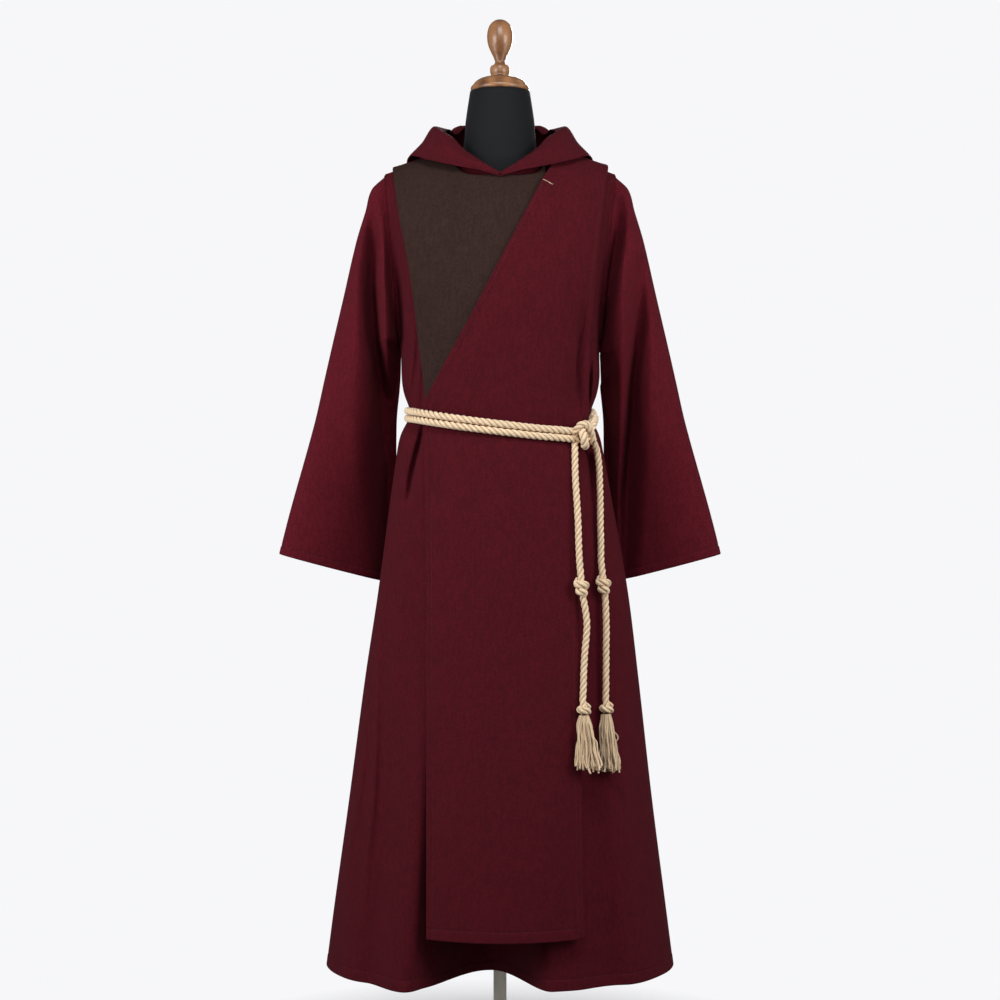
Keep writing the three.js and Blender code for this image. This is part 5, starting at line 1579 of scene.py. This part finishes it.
def turned_piece(name, runs, around, material, step=PROFILE_STEP):
    """A turned solid; its profile is runs of (radius, height), each smooth and meeting at a corner."""
    profile = []
    for run in runs:
        flat = smooth_route([(r, 0, z) for r, z in run], step)
        line = flat[:, (0, 2)] if len(run) > 2 else np.linspace(run[0], run[1], 4)
        profile.extend(line[:-1])
    profile.append(np.array(runs[-1][-1]))
    profile = np.array([p for p in profile if p[0] > AXIS_REACH])
    angle = 2 * np.pi * np.arange(around) / around
    rings = np.stack([
        profile[:, :1] * np.cos(angle), profile[:, :1] * np.sin(angle),
        np.broadcast_to(profile[:, 1:], (len(profile), around)),
    ], -1)
    return shell_mesh(name, rings, material)


def black_jersey():
    """Fine black jersey drawn tight: knitted ribs that run up the form, painted darker in the knit's hollows
    as painted shade, with a faint dull sheen.
    """
    m = Shader("black jersey")
    place = m.object_place()
    split = m.node("ShaderNodeSeparateXYZ", i0=place)
    angle = m.math("ARCTAN2", split.outputs[1], split.outputs[0])
    rib = m.math("ABSOLUTE", m.math("SINE", m.math("MULTIPLY", angle, 150.0)))
    loop = m.math("ABSOLUTE", m.math("SINE", m.math("MULTIPLY", split.outputs[2], math.pi / 0.0014)))
    fuzz = m.noise(place, 900, 3, 0.6)
    height = m.total((rib, 0.5), (loop, 0.25), (fuzz, 0.4))
    # Painted shade and highlight: the colour is darker in the knit's hollows and paler on its ribs and loops;
    # the fuzz varies it at random.
    colour = m.blend(m.ramp(height, 0.2, 0.9), (0.0028, 0.0030, 0.0038, 1), (0.0075, 0.0080, 0.0098, 1))
    return m.finish(colour, m.ramp(fuzz, 0.3, 0.7, 0.68, 0.8), m.bump(height, 0.00025, 0.6),
                    Specular_IOR_Level=0.18, Sheen_Weight=0.05, Sheen_Roughness=0.4)


def oiled_wood():
    """Turned hardwood, oiled: fine dark grain that runs up the piece under a thin satin coat."""
    m = Shader("oiled wood")
    grain = m.stretched(0.16)
    bend = m.noise(grain, 22, 3, 0.6)
    split = m.node("ShaderNodeSeparateXYZ", i0=grain)
    ring = m.math("SINE", m.total((split.outputs[0], 230.0), (bend, 9.0)))
    ring = m.math("ADD", m.math("MULTIPLY", ring, 0.5), 0.5)
    pores = m.noise(grain, 900, 3, 0.7)
    tone = m.total((ring, 0.45), (pores, 0.55))
    deep = m.blend(m.ramp(tone, 0.25, 0.75), (0.120, 0.044, 0.016, 1), (0.330, 0.150, 0.062, 1))
    broad = m.noise(m.object_place(), 45, 2)
    colour = m.blend(m.ramp(broad, 0.35, 0.65, 0, 0.35), deep, (0.44, 0.22, 0.100, 1))
    return m.finish(colour, m.ramp(pores, 0.3, 0.7, 0.30, 0.42), m.bump(pores, 0.0002, 0.25),
                    Coat_Weight=0.35, Coat_Roughness=0.22, Specular_IOR_Level=0.5)


def satin_steel():
    """Steel tube and plate, brushed round the piece and lacquered dull."""
    m = Shader("satin steel")
    brushed = m.noise(m.stretched(16.0), 420, 3, 0.7)
    dull = m.noise(m.object_place(), 30, 3)
    colour = m.blend(m.ramp(brushed, 0.3, 0.7), (0.86, 0.81, 0.72, 1), (0.95, 0.90, 0.82, 1))
    rough = m.math("ADD", m.ramp(dull, 0.3, 0.7, 0.30, 0.40), m.math("MULTIPLY", brushed, 0.10))
    return m.finish(colour, rough, m.bump(brushed, 0.0001, 0.3), Metallic=0.25)


jersey = black_jersey()
wood = oiled_wood()
steel = satin_steel()

foot = FORM["z"][0]
levels = np.unique(np.concatenate([
    np.linspace(foot, FORM["z"][-1], FORM_LEVELS), foot + np.array([0, 0.0008, 0.002, FORM_ROUND]),
]))
angle = 2 * np.pi * np.arange(FORM_AROUND) / FORM_AROUND
half, front, back = (read(FORM, name, levels)[:, None] for name in ("half", "front", "back"))
raised = levels - levels[0]
tuck = FORM_ROUND * (1 - np.sqrt(np.clip(1 - np.square(1 - raised / FORM_ROUND), 0, 1)))
tuck = np.where(raised < FORM_ROUND, tuck, 0)[:, None]
rings = np.stack([
    (half - tuck) * np.cos(angle), np.where(np.sin(angle) < 0, front - tuck, back - tuck) * np.sin(angle),
    np.broadcast_to(levels[:, None], (len(levels), FORM_AROUND)),
], -1)
torso = shell_mesh("form_torso_jersey", rings, jersey)
cap = turned_piece("neck_cap_wood", NECK_CAP, 72, wood)
finial = turned_piece("finial_wood", FINIAL, 56, wood)
pole = turned_piece("stand_pole_steel", POLE, 40, steel, 0.02)
base = turned_piece("stand_base_steel", BASE, 128, steel)
for piece, node, slot in (
    (torso, "form_torso", "black_jersey"),
    (cap, "neck_cap", "turned_wood"),
    (finial, "finial", "turned_wood"),
    (pole, "stand_pole", "satin_steel"),
    (base, "stand_base", "satin_steel"),
):
    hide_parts(node)
    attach(piece, "root")


# ---------- Floor and light ----------
# A pale floor fades into a plain pale backdrop. Of six soft lamps, two stand high at the sides before
# the habit and one above it in front, two stand low at the sides to fill the shade, and one is behind.

BACKDROP = (0.930, 0.930, 0.947)
FLOOR_RADIUS = 1.6
FLOOR_SIDES = 96
FLOOR_DROP = 0.0005  # how far it lies below the stand's foot
FLOOR_ROUGHNESS = 0.9
FLOOR_LIT = (0.22, 0.22, 0.22, 1)  # the colour it throws back on the habit
FLOOR_SEEN = (0.86, 0.86, 0.87, 1)
FADE_FROM = 0.30  # distances from the pole between which the floor fades into the backdrop
FADE_TO = 0.55
LAMP_SIZE = 0.8
LAMP_AIM = Vector((0, 0, 1.2))
LAMPS = [
    ("lamp_left", (-1.40, -1.20, 1.50), 18.0),
    ("lamp_right", (1.40, -1.20, 1.50), 16.5),
    ("lamp_front", (0.00, -1.35, 2.35), 16),
    ("lamp_low_left", (-1.70, -0.70, 0.75), 9),
    ("lamp_low_right", (1.70, -0.70, 0.65), 5),
    ("lamp_back", (0.40, 2.60, 2.10), 50),
]
AMBIENT = 0.12


def pale_floor():
    """Matt near the stand, where it takes the shadows, and as bright as the backdrop further out."""
    m = Shader("pale floor")
    seen = m.node("ShaderNodeLightPath").outputs["Is Camera Ray"]
    fade = m.ramp(m.vector("LENGTH", m.object_place()), FADE_FROM, FADE_TO)
    glow = m.node("ShaderNodeEmission", Color=(*BACKDROP, 1))
    m.feed(m.surface.inputs["Roughness"], FLOOR_ROUGHNESS)
    m.feed(m.surface.inputs["Base Color"], m.blend(seen, FLOOR_LIT, FLOOR_SEEN))
    blend = m.node("ShaderNodeMixShader", i0=m.math("MULTIPLY", fade, seen), i1=m.surface, i2=glow)
    m.feed(m.tree.nodes["Material Output"].inputs["Surface"], blend)
    return m.material


rim = [(FLOOR_RADIUS * math.cos(a), FLOOR_RADIUS * math.sin(a), -FLOOR_DROP)
       for a in np.linspace(0, 2 * math.pi, FLOOR_SIDES, endpoint=False)]
mesh = bpy.data.meshes.new("floor")
mesh.from_pydata(rim, [], [tuple(range(len(rim)))])
mesh.materials.append(pale_floor())
placed("floor", mesh)

for name, place, power in LAMPS:
    lamp = bpy.data.lights.new(name, "AREA")
    lamp.size = LAMP_SIZE
    lamp.energy = power
    holder = placed(name, lamp)
    holder.location = place
    holder.rotation_euler = (LAMP_AIM - Vector(place)).to_track_quat("-Z", "Y").to_euler()

world = bpy.data.worlds.new("backdrop")
world.use_nodes = True
scene.world = world
nodes = world.node_tree.nodes
links = world.node_tree.links
seen = nodes["Background"]
seen.inputs["Color"].default_value = (*BACKDROP, 1)
lit = nodes.new("ShaderNodeBackground")
lit.inputs["Color"].default_value = (1, 1, 1, 1)
lit.inputs["Strength"].default_value = AMBIENT
ray = nodes.new("ShaderNodeLightPath")
blend = nodes.new("ShaderNodeMixShader")
links.new(ray.outputs["Is Camera Ray"], blend.inputs[0])
links.new(lit.outputs[0], blend.inputs[1])
links.new(seen.outputs[0], blend.inputs[2])
links.new(blend.outputs[0], nodes["World Output"].inputs["Surface"])
scene.view_settings.view_transform = "Standard"
